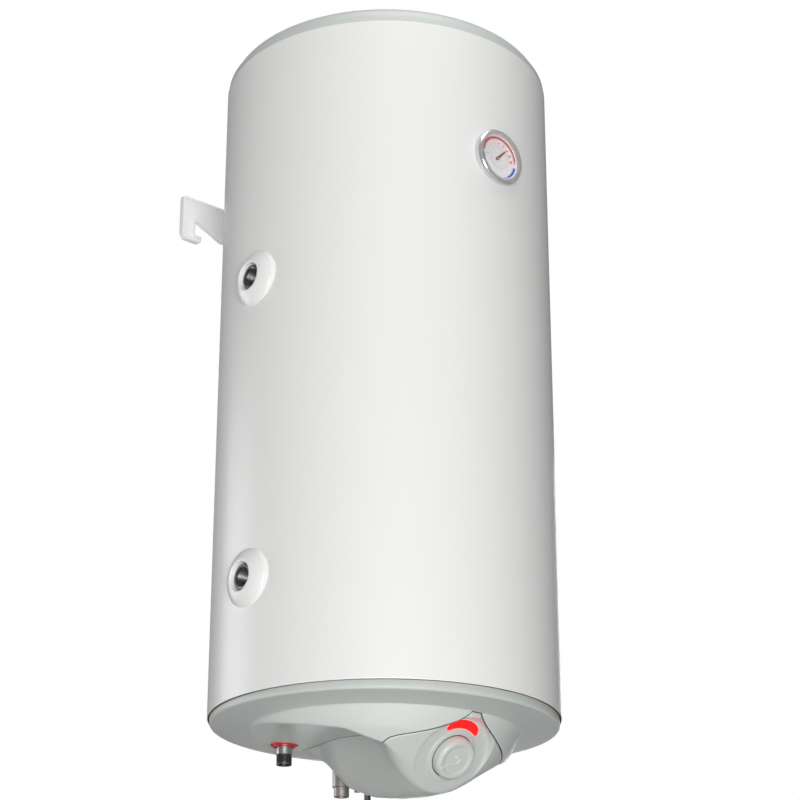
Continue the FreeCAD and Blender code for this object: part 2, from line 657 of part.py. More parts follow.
# ---------------------------------------------------------------- safety and non-return valve
def make_valve():
    x, y, z = PIPE_X, PIPE_Y, VALVE_Z
    barrel = cylinder(VALVE_R, 39.5, (x, y, -56.5))
    nipple = cylinder(THREAD_R, 13, (x, y, -69.5))
    branch = cylinder(8.0, 34, (x, y, z), X)
    nozzle = cylinder(NOZZLE_R, 17, (x + 28, y, z - 17))
    collar = cylinder(NOZZLE_R + 1.5, 10, (x + 28, y, z - 10))
    body = fuse([barrel, nipple, branch, nozzle, collar])
    body = body.cut(cylinder(PIPE_R + 0.05, 30, (x, y, -36)))
    body = body.cut(cylinder(7.5, 15, (x, y, -50.5)))
    body = body.cut(cylinder(5.5, 40, (x, y, -80)))
    body = body.cut(cylinder(3.0, 15, (x, y, z), X))
    body = body.cut(cylinder(CAVITY_R, 30, (x + 13.5, y, z), X))
    body = body.cut(cylinder(3.0, 20, (x + 28, y, z - 20)))
    save("valve_body", body)

    bonnet = cylinder(9.0, 8, (x + 34, y, z), X).cut(cylinder(SPINDLE_R + RUNNING, 12, (x + 32, y, z), X))
    save("valve_bonnet", bonnet)

    disc = cylinder(5.5, 3, (x + 13.8, y, z), X)
    shank = cylinder(SPINDLE_R, PIN_X - x - 13.8 - 5.7, (x + 13.8, y, z), X)
    tongue = block((PIN_X - 7.0, y - 1.9, z - 2.2), (PIN_X + 2.4, y + 1.9, z + 2.2))
    stem = fuse([disc, shank, tongue]).cut(cylinder(1.5, 20, (PIN_X, y - 10, z), Y))
    save("relief_stem", stem)
    save("lever_pin", cylinder(1.5, 9.6, (PIN_X, y - 4.8, z), Y))

    helix = Part.makeHelix(SPRING_PITCH, SPRING_LENGTH, SPRING_R)
    along = Vector(0, 1, SPRING_PITCH / (2 * math.pi * SPRING_R))
    section = Part.Wire([Part.makeCircle(SPRING_WIRE, Vector(SPRING_R, 0, 0), along)])
    spring = Part.Wire(helix.Edges).makePipeShell([section], True, True)
    spring.rotate(Vector(), Y, 90)
    spring.translate(Vector(x + 33.0 - SPRING_LENGTH, y, z))
    save("relief_spring", spring)

    cam_offset = Vector(0.5, 0, 0.866)
    hub = cylinder(4.4, 9.0, (PIN_X + cam_offset.x, y - 4.5, z + cam_offset.z), Y)
    bar = block((PIN_X - 2.0, y - 4.5, z - 33), (PIN_X + 3.0, y + 4.5, z - 3.0))
    lever = fuse([hub, bar])
    lever = lever.cut(block((PIN_X - 12, y - 2.3, z - 8.0), (PIN_X + 12, y + 2.3, z + 12)))
    lever = lever.cut(cylinder(1.5 + RUNNING, 20, (PIN_X, y - 10, z), Y))
    save("relief_lever", lever)

    disc = cylinder(6.6, 2.0, (x, y, -50.5))
    fins = [block((x - 5.2, y - 0.6, -59), (x + 5.2, y + 0.6, -50.4)),
            block((x - 0.6, y - 5.2, -59), (x + 0.6, y + 5.2, -50.4))]
    save("check_poppet", fuse([disc] + fins))


os.makedirs("parts", exist_ok=True)
make_tank()
make_flange()
make_flange_tools()
make_coil()
make_ports()
make_pipes()
make_casing()
make_insulation()
make_strap()
make_top_cap()
make_bottom_cap()
make_pipe_rosettes()
make_gland()
make_cover()
make_knob()
make_controls()
make_thermometer()
make_valve()
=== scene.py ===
import json
import math

import bmesh
import bpy
import numpy as np
from mathutils import Matrix, Vector


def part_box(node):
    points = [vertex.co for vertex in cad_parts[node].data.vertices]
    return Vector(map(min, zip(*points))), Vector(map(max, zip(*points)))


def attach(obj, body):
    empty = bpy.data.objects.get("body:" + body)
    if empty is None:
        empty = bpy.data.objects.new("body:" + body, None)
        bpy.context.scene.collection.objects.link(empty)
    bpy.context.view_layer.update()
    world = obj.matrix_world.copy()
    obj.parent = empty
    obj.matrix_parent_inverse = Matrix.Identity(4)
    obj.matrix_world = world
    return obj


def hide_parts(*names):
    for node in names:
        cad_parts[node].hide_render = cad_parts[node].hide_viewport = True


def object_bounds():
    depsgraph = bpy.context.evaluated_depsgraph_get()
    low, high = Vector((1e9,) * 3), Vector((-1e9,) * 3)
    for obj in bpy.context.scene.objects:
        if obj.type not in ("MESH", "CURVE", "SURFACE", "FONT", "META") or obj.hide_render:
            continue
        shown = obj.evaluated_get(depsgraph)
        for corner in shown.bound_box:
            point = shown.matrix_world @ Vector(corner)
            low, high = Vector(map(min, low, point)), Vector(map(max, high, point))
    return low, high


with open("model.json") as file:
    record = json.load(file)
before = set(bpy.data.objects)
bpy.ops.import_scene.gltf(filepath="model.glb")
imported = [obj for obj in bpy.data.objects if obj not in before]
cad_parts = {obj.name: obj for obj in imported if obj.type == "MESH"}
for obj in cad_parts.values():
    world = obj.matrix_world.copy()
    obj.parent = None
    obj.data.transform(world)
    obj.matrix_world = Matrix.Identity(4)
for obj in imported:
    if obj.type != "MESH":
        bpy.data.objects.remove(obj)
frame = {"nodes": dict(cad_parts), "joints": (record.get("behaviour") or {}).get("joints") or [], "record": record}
CAD_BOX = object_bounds()

# Everything is placed in tank coordinates, in millimetres: the tank's axis is Z, Z = 0 is the casing's
# lower edge and the front faces -Y. The frame's boxes say where that is.
MM = 0.001
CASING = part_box("outer_casing")
CASING_R = (CASING[1].x - CASING[0].x) / 2 / MM
CASING_H = (CASING[1].z - CASING[0].z) / MM
TANK = Vector((0, CASING[0].y + CASING_R * MM, CASING[0].z))


def at(x, y, z):
    """A point in the row frame, in metres, from tank millimetres."""
    return TANK + Vector((x, y, z)) * MM


def middle(node):
    """Centre of a CAD node's box, in tank millimetres."""
    low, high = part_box(node)
    return ((low + high) / 2 - TANK) / MM


def span(node):
    """Lowest and highest corners of a CAD node's box, in tank millimetres."""
    low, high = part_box(node)
    return (low - TANK) / MM, (high - TANK) / MM


def joint(name):
    """The joint of that name, and its place in tank millimetres."""
    found = next(j for j in frame["joints"] if j["name"] == name)
    return found, (Vector(found["pos_m"]) - TANK) / MM


def link_to_scene(thing):
    bpy.context.scene.collection.objects.link(thing)
    return thing


# ================================================================ materials
def new_material(name):
    material = bpy.data.materials.new(name)
    material.use_nodes = True
    return material, material.node_tree, material.node_tree.nodes["Principled BSDF"]


def coordinates(tree, scale=(1, 1, 1)):
    """Object coordinates, in metres, stretched by scale."""
    source = tree.nodes.new("ShaderNodeTexCoord")
    mapping = tree.nodes.new("ShaderNodeMapping")
    mapping.inputs["Scale"].default_value = scale
    tree.links.new(source.outputs["Object"], mapping.inputs["Vector"])
    return mapping.outputs["Vector"]


def noise(tree, vector, scale, detail=3.0, roughness=0.5):
    node = tree.nodes.new("ShaderNodeTexNoise")
    node.inputs["Scale"].default_value = scale
    node.inputs["Detail"].default_value = detail
    node.inputs["Roughness"].default_value = roughness
    tree.links.new(vector, node.inputs["Vector"])
    return node.outputs["Fac"]


def remap(tree, value, low, high, start=0.3, end=0.7):
    node = tree.nodes.new("ShaderNodeMapRange")
    node.inputs["From Min"].default_value = start
    node.inputs["From Max"].default_value = end
    node.inputs["To Min"].default_value = low
    node.inputs["To Max"].default_value = high
    tree.links.new(value, node.inputs["Value"])
    return node.outputs["Result"]


def blend_colours(tree, factor, first, second):
    node = tree.nodes.new("ShaderNodeMix")
    node.data_type = "RGBA"
    node.inputs["A"].default_value = (*first, 1)
    node.inputs["B"].default_value = (*second, 1)
    tree.links.new(factor, node.inputs["Factor"])
    return node.outputs["Result"]


def bump(tree, shader, height, strength, distance, normal=None):
    node = tree.nodes.new("ShaderNodeBump")
    node.inputs["Strength"].default_value = strength
    node.inputs["Distance"].default_value = distance
    tree.links.new(height, node.inputs["Height"])
    if normal is not None:
        tree.links.new(normal, node.inputs["Normal"])
    tree.links.new(node.outputs["Normal"], shader.inputs["Normal"])
    return node.outputs["Normal"]


def mix_shaders(tree, factor, first, second):
    """The first shader where the factor is 0 and the second where it is 1."""
    node = tree.nodes.new("ShaderNodeMixShader")
    for socket, source in zip(node.inputs, (factor, first, second)):
        tree.links.new(source, socket)
    return node.outputs["Shader"]


def surface(name, colour, shade=0.04, grain=900.0, grain_depth=0.00002, rough=(0.35, 0.45), **sockets):
    """A moulded, painted or turned surface: slight colour drift, grain in the relief and in the gloss."""
    material, tree, shader = new_material(name)
    vector = coordinates(tree)
    drift = noise(tree, vector, 14.0, 4.0)
    fine = noise(tree, vector, grain, 2.0)
    dark = tuple(c * (1 - shade) for c in colour)
    tree.links.new(blend_colours(tree, drift, dark, colour), shader.inputs["Base Color"])
    tree.links.new(remap(tree, fine, rough[0], rough[1]), shader.inputs["Roughness"])
    bump(tree, shader, fine, 0.5, grain_depth)
    for socket, value in sockets.items():
        shader.inputs[socket.replace("_", " ")].default_value = value
    return material


def powder_coat(name, colour):
    """Sprayed white coat: a soft orange peel over a fine sparkle of grain."""
    material, tree, shader = new_material(name)
    vector = coordinates(tree)
    peel = noise(tree, vector, 420.0, 2.0)
    grain = noise(tree, vector, 1500.0, 2.0)
    drift = noise(tree, vector, 5.0, 3.0)
    dark = tuple(c * 0.985 for c in colour)
    tree.links.new(blend_colours(tree, drift, dark, colour), shader.inputs["Base Color"])
    tree.links.new(remap(tree, grain, 0.30, 0.42), shader.inputs["Roughness"])
    first = bump(tree, shader, peel, 0.35, 0.00005)
    bump(tree, shader, grain, 0.3, 0.00001, first)
    shader.inputs["Coat Weight"].default_value = 0.15
    shader.inputs["Coat Roughness"].default_value = 0.25
    return material


def glowing(name, colour, strength):
    """Lit red lens with a moulded, slightly uneven brightness."""
    material, tree, shader = new_material(name)
    vector = coordinates(tree)
    cells = noise(tree, vector, 260.0, 2.0)
    deep = tuple(c * 0.9 for c in colour)
    tint = blend_colours(tree, cells, deep, colour)
    tree.links.new(tint, shader.inputs["Base Color"])
    tree.links.new(tint, shader.inputs["Emission Color"])
    shader.inputs["Emission Strength"].default_value = strength
    shader.inputs["Roughness"].default_value = 0.3
    bump(tree, shader, cells, 0.3, 0.00002)
    return material


def metal(name, colour, rough=(0.25, 0.4), stretch=(1, 1, 12), stain=0.25):
    """Drawn or turned metal: streaks along one axis and darker stains."""
    material, tree, shader = new_material(name)
    vector = coordinates(tree, stretch)
    streaks = noise(tree, vector, 700.0, 3.0)
    stains = noise(tree, coordinates(tree), 90.0, 5.0)
    dark = tuple(c * (1 - stain) for c in colour)
    tree.links.new(blend_colours(tree, stains, dark, colour), shader.inputs["Base Color"])
    tree.links.new(remap(tree, streaks, rough[0], rough[1]), shader.inputs["Roughness"])
    bump(tree, shader, streaks, 0.3, 0.00002)
    shader.inputs["Metallic"].default_value = 1.0
    return material


WHITE_COAT = powder_coat("white_powder_coat", (0.86, 0.86, 0.85))
STRAP_COAT = powder_coat("strap_powder_coat", (0.84, 0.84, 0.84))
CAP_GREY = surface("cap_grey", (0.60, 0.63, 0.605), 0.02, 1500.0, 0.00001, (0.42, 0.52))
COVER_GREY = surface("cover_grey", (0.56, 0.59, 0.565), 0.02, 1500.0, 0.00001, (0.34, 0.42))
KNOB_GREY = surface("knob_grey", (0.60, 0.63, 0.605), 0.02, 1500.0, 0.00001, (0.30, 0.38))
PORT_WHITE = surface("port_white", (0.86, 0.86, 0.85), 0.02, 1200.0, 0.00001, (0.25, 0.35))
RED_LENS = glowing("red_lens", (1.0, 0.003, 0.003), 3.4)
RED_PLASTIC = surface("red_plastic", (0.55, 0.02, 0.03), 0.1, 900.0, 0.00001, (0.3, 0.4))
BLUE_PLASTIC = surface("blue_plastic", (0.02, 0.09, 0.5), 0.1, 900.0, 0.00001, (0.3, 0.4))
PIPE_STEEL = metal("pipe_steel", (0.54, 0.52, 0.53))
THREAD_DARK = metal("thread_dark", (0.15, 0.145, 0.15), (0.4, 0.55))
VALVE_METAL = metal("valve_metal", (0.52, 0.48, 0.455), (0.45, 0.6), (1, 1, 6))
# Dark steel for the port sockets and the hot pipe's end: the colour is darkened as painted shade for the shadowed
# socket bores.
SHADE_DARKENED_STEEL = metal("socket_steel_painted_shade", (0.17, 0.17, 0.175), (0.3, 0.45))
ZINC = metal("zinc_plate", (0.62, 0.61, 0.55), (0.25, 0.4))
CHROME = metal("chrome_trim", (0.80, 0.81, 0.82), (0.06, 0.12), (1, 1, 1), 0.05)
BLACK_PLASTIC = surface("black_plastic", (0.035, 0.035, 0.037), 0.2, 1200.0, 0.00002, (0.4, 0.55))
LENS = surface("clear_lens", (0.90, 0.93, 0.95), 0.05, 900.0, 0.000002, (0.03, 0.06), Alpha=0.05)
NEEDLE_RED = surface("needle_red", (0.28, 0.012, 0.018), 0.1, 900.0, 0.000005, (0.35, 0.45))


# ================================================================ mesh tools
def piece(name, vertices, faces, material, body="heater", sharp=35.0, closed=True, place=None):
    """A mesh piece from points in tank millimetres, or in those of a place, smooth with sharp corners."""
    place = place or Matrix.Identity(4)
    mesh = bpy.data.meshes.new(name)
    mesh.from_pydata([at(*(place @ Vector(v))) for v in vertices], [], faces)
    mesh.materials.append(material)
    build = bmesh.new()
    build.from_mesh(mesh)
    bmesh.ops.remove_doubles(build, verts=build.verts, dist=1e-6)
    if closed:
        bmesh.ops.recalc_face_normals(build, faces=build.faces)
    build.to_mesh(mesh)
    build.free()
    smooth(mesh, sharp)
    thing = link_to_scene(bpy.data.objects.new(name, mesh))
    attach(thing, body)
    return thing


def smooth(mesh, sharp):
    """Shades curved walls smoothly and keeps corners sharper than an angle in degrees."""
    mesh.polygons.foreach_set("use_smooth", [True] * len(mesh.polygons))
    mesh.set_sharp_from_angle(angle=math.radians(sharp))
    mesh.update()


def rounded(corners, radius, steps=5, closed=True):
    """The outline's corners as short arcs; a corner may carry its own radius as a third value."""
    result = []
    count = len(corners)
    for i, corner in enumerate(corners):
        here = Vector(corner[:2])
        own = corner[2] if len(corner) > 2 else radius
        if (not closed and i in (0, count - 1)) or own <= 0:
            result.append(tuple(here))
            continue
        before = Vector(corners[i - 1][:2]) - here
        after = Vector(corners[(i + 1) % count][:2]) - here
        angle = before.angle(after)
        reach = min(own / math.tan(angle / 2), before.length * 0.49, after.length * 0.49)
        start = here + before.normalized() * reach
        end = here + after.normalized() * reach
        for k in range(steps + 1):
            t = k / steps
            result.append(tuple((1 - t) ** 2 * start + 2 * t * (1 - t) * here + t * t * end))
    return result


def lathe(profile, segments):
    """Vertices and faces of a closed (radius, height) profile turned about its own Z."""
    vertices = []
    for k in range(segments):
        angle = 2 * math.pi * k / segments
        vertices += [(radius * math.cos(angle), radius * math.sin(angle), z) for radius, z in profile]
    rows = len(profile)
    faces = []
    for k in range(segments):
        for i in range(rows):
            a, b = k * rows + i, k * rows + (i + 1) % rows
            c, d = ((k + 1) % segments) * rows + (i + 1) % rows, ((k + 1) % segments) * rows + i
            faces.append((a, d, c, b))
    return vertices, faces


def grid_faces(rows, columns, wrap=False):
    faces = []
    for i in range(rows - 1):
        for j in range(columns if wrap else columns - 1):
            k = (j + 1) % columns
            faces.append((i * columns + j, i * columns + k, (i + 1) * columns + k, (i + 1) * columns + j))
    return faces


def smooth_min(a, b, width):
    """The lower of two heights, with the crease between them rounded over width."""
    h = np.maximum(width - np.abs(a - b), 0) / width
    return np.minimum(a, b) - h * h * width / 4


def smooth_max(a, b, width):
    return -smooth_min(-a, -b, width)


def step(value, start, end):
    t = np.clip((value - start) / (end - start), 0, 1)
    return t * t * (3 - 2 * t)


def arc(start, middle_point, end, steps=8):
    """Points on the circle through three points, without the first one."""
    (ax, ay), (bx, by), (cx, cy) = start, middle_point, end
    d = 2 * (ax * (by - cy) + bx * (cy - ay) + cx * (ay - by))
    a2, b2, c2 = ax * ax + ay * ay, bx * bx + by * by, cx * cx + cy * cy
    ox = (a2 * (by - cy) + b2 * (cy - ay) + c2 * (ay - by)) / d
    oy = (a2 * (cx - bx) + b2 * (ax - cx) + c2 * (bx - ax)) / d
    radius = math.hypot(ax - ox, ay - oy)
    first, last = math.atan2(ay - oy, ax - ox), math.atan2(cy - oy, cx - ox)
    turn = (last - first + math.pi) % (2 * math.pi) - math.pi
    angles = [first + turn * k / steps for k in range(1, steps + 1)]
    return [(ox + radius * math.cos(angle), oy + radius * math.sin(angle)) for angle in angles]


def eased(table, reach):
    """A table of (position, value) as a smooth function: straight runs with their corners rounded."""
    positions, values = zip(*sorted(table))
    offsets = np.linspace(-reach, reach, 9)
    weights = 1 - (offsets / (reach * 1.2)) ** 2

    def value(x):
        return sum(w * np.interp(x + o, positions, values) for w, o in zip(weights, offsets)) / weights.sum()
    return value


def frame_at(x, y, z, tilt=0.0, yaw=0.0):
    """Matrix that puts a shape made about its own Z axis at a place, tilted about X and turned about Y."""
    return (Matrix.Translation((x, y, z)) @ Matrix.Rotation(math.radians(tilt), 4, "X")
            @ Matrix.Rotation(math.radians(yaw), 4, "Y"))


def turned_piece(name, profile, material, place=None, segments=128, sharp=35.0, node=None):
    vertices, faces = lathe(profile, segments)
    thing = piece(name, vertices, faces, material, sharp=sharp, place=place)
    if node:
        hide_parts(node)


def bevelled(thing, width, segments=2, angle=30.0):
    """Rounds the piece's sharp edges; width is in millimetres."""
    modifier = thing.modifiers.new("edges", "BEVEL")
    modifier.width = width * MM
    modifier.segments = segments
    modifier.limit_method = "ANGLE"
    modifier.angle_limit = math.radians(angle)


# ================================================================ casing
def make_casing():
    """Painted wrap: rounded hems, a folded lock seam down the back, holes for what passes through."""
    seam_half, seam_rise = 5.0, 1.1
    back = math.pi / 2
    angles = np.linspace(0, 2 * math.pi, 400, endpoint=False)
    near_seam = back + np.linspace(-7, 7, 29) / CASING_R
    angles = np.unique(np.concatenate([angles[np.abs(angles - back) > 8 / CASING_R], near_seam]))
    hem = [(0.0, 0.9), (0.25, 0.35), (0.8, 0.0)]
    levels = hem + [(z, 0.0) for z in np.linspace(2, CASING_H - 2, 154)]
    levels += [(CASING_H - z, pull) for z, pull in hem[::-1]]
    bulge = seam_rise * (1 - step(np.abs(angles - back) * CASING_R, seam_half - 1.2, seam_half))
    vertices = []
    for z, pull in levels:
        radius = CASING_R - pull + bulge
        vertices += [(r * math.cos(a), r * math.sin(a), z) for r, a in zip(radius, angles)]
    holes = [(middle(name + "_port_rosette"), 25.0) for name in ("lower", "upper")]
    holes.append((middle("thermometer_bezel"), 30.0))
    faces = []
    for face in grid_faces(len(levels), len(angles), wrap=True):
        centre = sum((Vector(vertices[k]) for k in face), Vector()) / 4
        if all((centre - hole).length > reach for hole, reach in holes):
            faces.append(face)
    casing = piece("casing", vertices, faces, WHITE_COAT, sharp=50, closed=False)
    wall = casing.modifiers.new("wall", "SOLIDIFY")
    wall.thickness = 0.8 * MM
    wall.offset = -1
    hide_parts("outer_casing")


def make_top_cap():
    """Band, small step, rounded shoulder and a shallow domed lid."""
    seam, top = CASING_H, span("top_cap")[1].z
    edge, shoulder = (226.8, seam + 10.4), (204.0, seam + 32.0)
    rise = top - shoulder[1]
    sphere = (shoulder[0] ** 2 + rise ** 2) / (2 * rise)
    radii = [shoulder[0] * (1 - k / 24) for k in range(1, 24)]
    lid = [(radius, top - sphere + math.sqrt(sphere ** 2 - radius ** 2)) for radius in radii]
    profile = [(224.0, seam - 6), (229.5, seam - 6), (229.5, seam + 8.6), (229.2, seam + 9.5),
               (228.5, seam + 10.0), (227.6, seam + 10.1), (227.1, seam + 10.2), edge]
    profile += arc(edge, (219.0, seam + 24.5), shoulder, 14)
    profile += lid + [(0.01, top), (0.01, top - 2.5), (200, seam + 29), (222, seam + 9)]
    turned_piece("top_cover", profile, CAP_GREY, segments=360, sharp=28, node="top_cap")


# ================================================================ bottom cap
RIM_R = 228.0
RIM_Z = -9.5                              # lower edge of the rim, which is deeper at the front
RIM_RISE = math.tan(math.radians(0.8))
LIP_R = 4.2                               # rounding between the rim and the ring
LIP_DEPTH = 3.2
RING_SLOPE = 0.115
MOUND_R = 186.0                           # the mound's cone
MOUND_Z = -14.0
MOUND_RISE = math.tan(math.radians(2.0))
MOUND_SLOPE = 0.9
MOUND_TIP = -61.0
SKIRT_R = 176.0                           # steeper skirt round the cone's foot
SKIRT_Z = -18.0
SKIRT_SLOPE = 0.5
SCOOP = [(170, -9.5), (148, -12), (95, -16), (40, -21), (9, -26), (-37, -34), (-83, -43), (-112, -61)]
SCOOP_END = SCOOP[-1][0]
COVER_CENTRE_Y = -40.0
SHUT_LINE = 1.2                           # gap round the control cover
EDGE_ROUND = 1.0
WALL_DEPTH = 7.0                          # how far the edges of cover and cap turn in
scoop_level = eased(SCOOP, 6.0)


def cap_level(x, y):
    """Underside of the bottom cap: shallow ring, mound, and the scoop that runs back to the pipes."""
    radius = np.hypot(x, y)
    ring = RIM_Z + RIM_RISE * y - RING_SLOPE * (RIM_R - LIP_R - radius)
    cone = MOUND_Z + MOUND_RISE * y - (MOUND_R - radius) / MOUND_SLOPE
    skirt = SKIRT_Z - (SKIRT_R - radius) / SKIRT_SLOPE
    mound = smooth_min(ring, smooth_max(cone, skirt, 2.0), 2.0)
    scoop = np.where(y < SCOOP_END, MOUND_TIP, scoop_level(y))
    return smooth_max(mound, scoop, 2.5)


# Stations of the control cover from its tail to its nose: y, half width, keel height, roundness of the
# section (1 is a V, 2 and more is a rounded belly).
STATIONS = [
    (164, 3, -10.5, 1.5), (147, 8, -19, 1.4), (115, 18.5, -37, 1.35), (92, 26.5, -58, 1.4),
    (69, 34.5, -76, 1.45), (20, 51, -95, 1.6), (-27, 67, -104, 1.8), (-70, 83, -107.5, 2.0),
    (-96, 94, -106, 2.1), (-113, 99, -91, 2.2), (-125, 91, -79, 2.2), (-138, 76, -67, 2.2),
    (-150, 60, -55.5, 2.2), (-162, 36, -43.5, 2.2), (-169.5, 17, -34.5, 2.2), (-172.5, 8, -28.5, 2.2),
    (-174.5, 1.2, -22.5, 2.2)]
cover_width = eased([(s[0], s[1]) for s in STATIONS], 9.0)
cover_keel = eased([(s[0], s[2]) for s in STATIONS], 7.0)
cover_roundness = eased([(s[0], s[3]) for s in STATIONS], 8.0)
TAIL_Y, NOSE_Y = STATIONS[0][0], STATIONS[-1][0]


def cover_outline(gap, count=260):
    """Closed outline of the control cover seen from below, grown by gap."""
    y = NOSE_Y + (TAIL_Y - NOSE_Y) * (1 - np.cos(np.linspace(0, math.pi, count))) / 2
    w = cover_width(y)
    right = np.stack([w, y], 1)
    left = np.stack([-w[::-1], y[::-1]], 1)
    loop = np.concatenate([right, left])
    tangent = np.roll(loop, -1, 0) - np.roll(loop, 1, 0)
    normal = np.stack([tangent[:, 1], -tangent[:, 0]], 1)
    normal /= np.linalg.norm(normal, axis=1)[:, None] + 1e-9
    return loop + normal * gap


def make_bottom_cap():
    """Cap in rows from the cover's hole out to the rim, and a dark strip round the cover as painted shade."""
    inner = cover_outline(SHUT_LINE)
    centre = np.array([0.0, COVER_CENTRE_Y])
    ray = inner - centre
    ray /= np.linalg.norm(ray, axis=1)[:, None]

    def reach(radius):
        along = -(ray @ centre)
        return centre + ray * (along + np.sqrt(along ** 2 - centre @ centre + radius ** 2))[:, None]

    rows = []

    def add(points, z):
        rows.append(np.column_stack([points, z]))

    flat = reach(RIM_R - LIP_R)
    ground = cap_level(inner[:, 0], inner[:, 1])
    add(inner, ground + WALL_DEPTH)
    add(inner, ground + 0.8 * EDGE_ROUND)
    for share in np.concatenate([[0.002, 0.006], np.linspace(0.012, 1.0, 130)]):
        points = inner + (flat - inner) * share
        z = cap_level(points[:, 0], points[:, 1])
        edge = np.linalg.norm(points - inner, axis=1)
        z = z + EDGE_ROUND * np.clip(1 - edge / EDGE_ROUND, 0, 1) ** 2
        add(points, z)
    for angle in np.linspace(0, math.pi / 2, 14)[1:]:
        points = reach(RIM_R - LIP_R + LIP_R * math.sin(angle))
        edge = RIM_Z + RIM_RISE * points[:, 1]
        add(points, edge + LIP_DEPTH * (1 - math.cos(angle)))
    rim = reach(RIM_R)
    add(rim, np.full(len(rim), -0.6))
    add(reach(RIM_R - 0.4), np.full(len(rim), 0.0))
    add(reach(RIM_R - 4.0), np.full(len(rim), 0.6))
    vertices = np.concatenate(rows)
    columns = len(inner)
    cap = piece("bottom_cover", vertices, grid_faces(len(rows), columns, wrap=True), CAP_GREY,
                sharp=40)
    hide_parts("bottom_cap")

    # Dark strip just under the shut line round the cover: painted shade that stands in for the shadow in the gap.
    gap_shade_section = [(-0.3, 2.0), (-0.1, 0.4), (SHUT_LINE / 2, -0.1), (SHUT_LINE + 0.1, 0.4), (SHUT_LINE + 0.3, 2.0)]
    gap_shade = np.concatenate([np.column_stack([cover_outline(gap), ground + lift]) for gap, lift in gap_shade_section])
    piece("cover_gap_shade", gap_shade, grid_faces(len(gap_shade_section), columns, wrap=True), BLACK_PLASTIC)


# ================================================================ control cover
KNOB_JOINT, KNOB_AT = joint("thermostat_turn")
KNOB_AXIS = Vector(KNOB_JOINT["axis"]).normalized()
KNOB_TILT = math.degrees(math.atan2(-KNOB_AXIS.y, KNOB_AXIS.z))
DISH_R = 54.0
DISH_FLARE = 3 / 7
PLATEAU_R = 35.0
PLATEAU_H = 1.5
SCREW_SLOT = (-74.0, -18.0, 5.0)
SCREW_SEAT = -98.5


def face_plane(y):
    """Height of the control face's plane under a point."""
    return KNOB_AT.z - (KNOB_AXIS.y / KNOB_AXIS.z) * (y - KNOB_AT.y)


SEAM_ROWS = np.linspace(NOSE_Y, TAIL_Y, 80)
soft_seam = eased(list(zip(SEAM_ROWS, cap_level(cover_width(SEAM_ROWS), SEAM_ROWS))), 22.0)


def cover_level(x, y, width):
    """Underside of the control cover: belly, dished control face, plateau and screw slot."""
    # the belly leaves the keel towards an evened-out seam and meets the real one at its edge
    t = np.clip(np.abs(x) / width, 0, 1)
    seam = cap_level(width, y)
    keel = np.minimum(cover_keel(y), seam - 0.4)
    soft = np.maximum(soft_seam(y), keel)
    belly = keel + (soft - keel) * t ** cover_roundness(y) + (seam - soft) * t ** 6

    # the dish is a cone that flares out along the knob's axis: its wall above a point solves a quadratic
    plane = face_plane(y)
    across, fall = -KNOB_AXIS.y, -KNOB_AXIS.z
    up_slope = -(y - KNOB_AT.y) / fall
    a = across ** 2 - (DISH_FLARE * fall) ** 2
    b = -(2 * across * up_slope + 2 * DISH_R * DISH_FLARE * fall)
    c = x ** 2 + up_slope ** 2 - DISH_R ** 2
    root = b * b - 4 * a * c
    wall = plane - (-b - np.sqrt(np.maximum(root, 0))) / (2 * a)
    floor_radius = np.hypot(x, up_slope)
    raised = PLATEAU_H / fall * (1 - step(floor_radius, PLATEAU_R - 0.6, PLATEAU_R + 0.8))
    dish = np.where(root > 0, smooth_min(plane - raised, wall, 5.0), -999.0)
    level = smooth_max(belly, dish, 3.0)

    start, end, half = SCREW_SLOT
    from_slot = np.hypot(x, y - np.clip(y, start, end)) - half
    sunk = 1 - step(from_slot, -0.6, 0.6)
    return level + sunk * (np.maximum(SCREW_SEAT, level) - level)


def make_control_cover():
    """Cover in rows from nose to tail, closer together at both ends, with its edges turned in."""
    rows = NOSE_Y + (TAIL_Y - NOSE_Y) * (1 - np.cos(np.linspace(0.0, math.pi, 430))) / 2
    rows = 0.35 * rows + 0.65 * np.linspace(NOSE_Y, TAIL_Y, 430)
    edge = np.array([0.0, 0.15, 0.4, 0.8, 1.3])
    inside = np.linspace(-1, 1, 261)[1:-1]
    vertices = []
    for y in rows:
        width = float(cover_width(y))
        rim = edge * min(1.0, width / 6)
        x = np.concatenate([-(width - rim), inside * (width - rim[-1]), (width - rim)[::-1]])
        z = cover_level(x, np.full(len(x), y), width)
        lift = EDGE_ROUND * np.clip(1 - (width - np.abs(x)) / EDGE_ROUND, 0, 1) ** 2
        x = np.concatenate([[x[0]], x, [x[-1]]])
        z = np.concatenate([[z[0] + WALL_DEPTH], z + lift, [z[-1] + WALL_DEPTH]])
        vertices += [(a, y, b) for a, b in zip(x, z)]
    columns = len(x)
    nose_wall = [(a, b, c + WALL_DEPTH) for a, b, c in vertices[:columns]]
    tail_wall = [(a, b, c + WALL_DEPTH) for a, b, c in vertices[-columns:]]
    vertices = nose_wall + vertices + tail_wall
    faces = grid_faces(len(rows) + 2, columns)
    cover = piece("control_hood", vertices, faces, COVER_GREY, sharp=50)
    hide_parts("control_cover")


def make_cover_screws():
    """Pan-head screws in the slot under the cover."""
    head_depth = 2.6
    for index, y in enumerate((-20.0, -72.0)):
        head = [(0.01, 0), (1.2, 0), (1.3, 0.6), (2.6, 0.35), (3.8, 1.2), (4.0, 2.2), (4.0, 3.0), (2.0, 3.0),
                (2.0, 8.0), (0.01, 8.0)]
        turned_piece(f"cover_screw_{index + 1}", head, ZINC, frame_at(0, y, SCREW_SEAT - head_depth),
                     segments=40, node="cover_screws" if index == 0 else None)


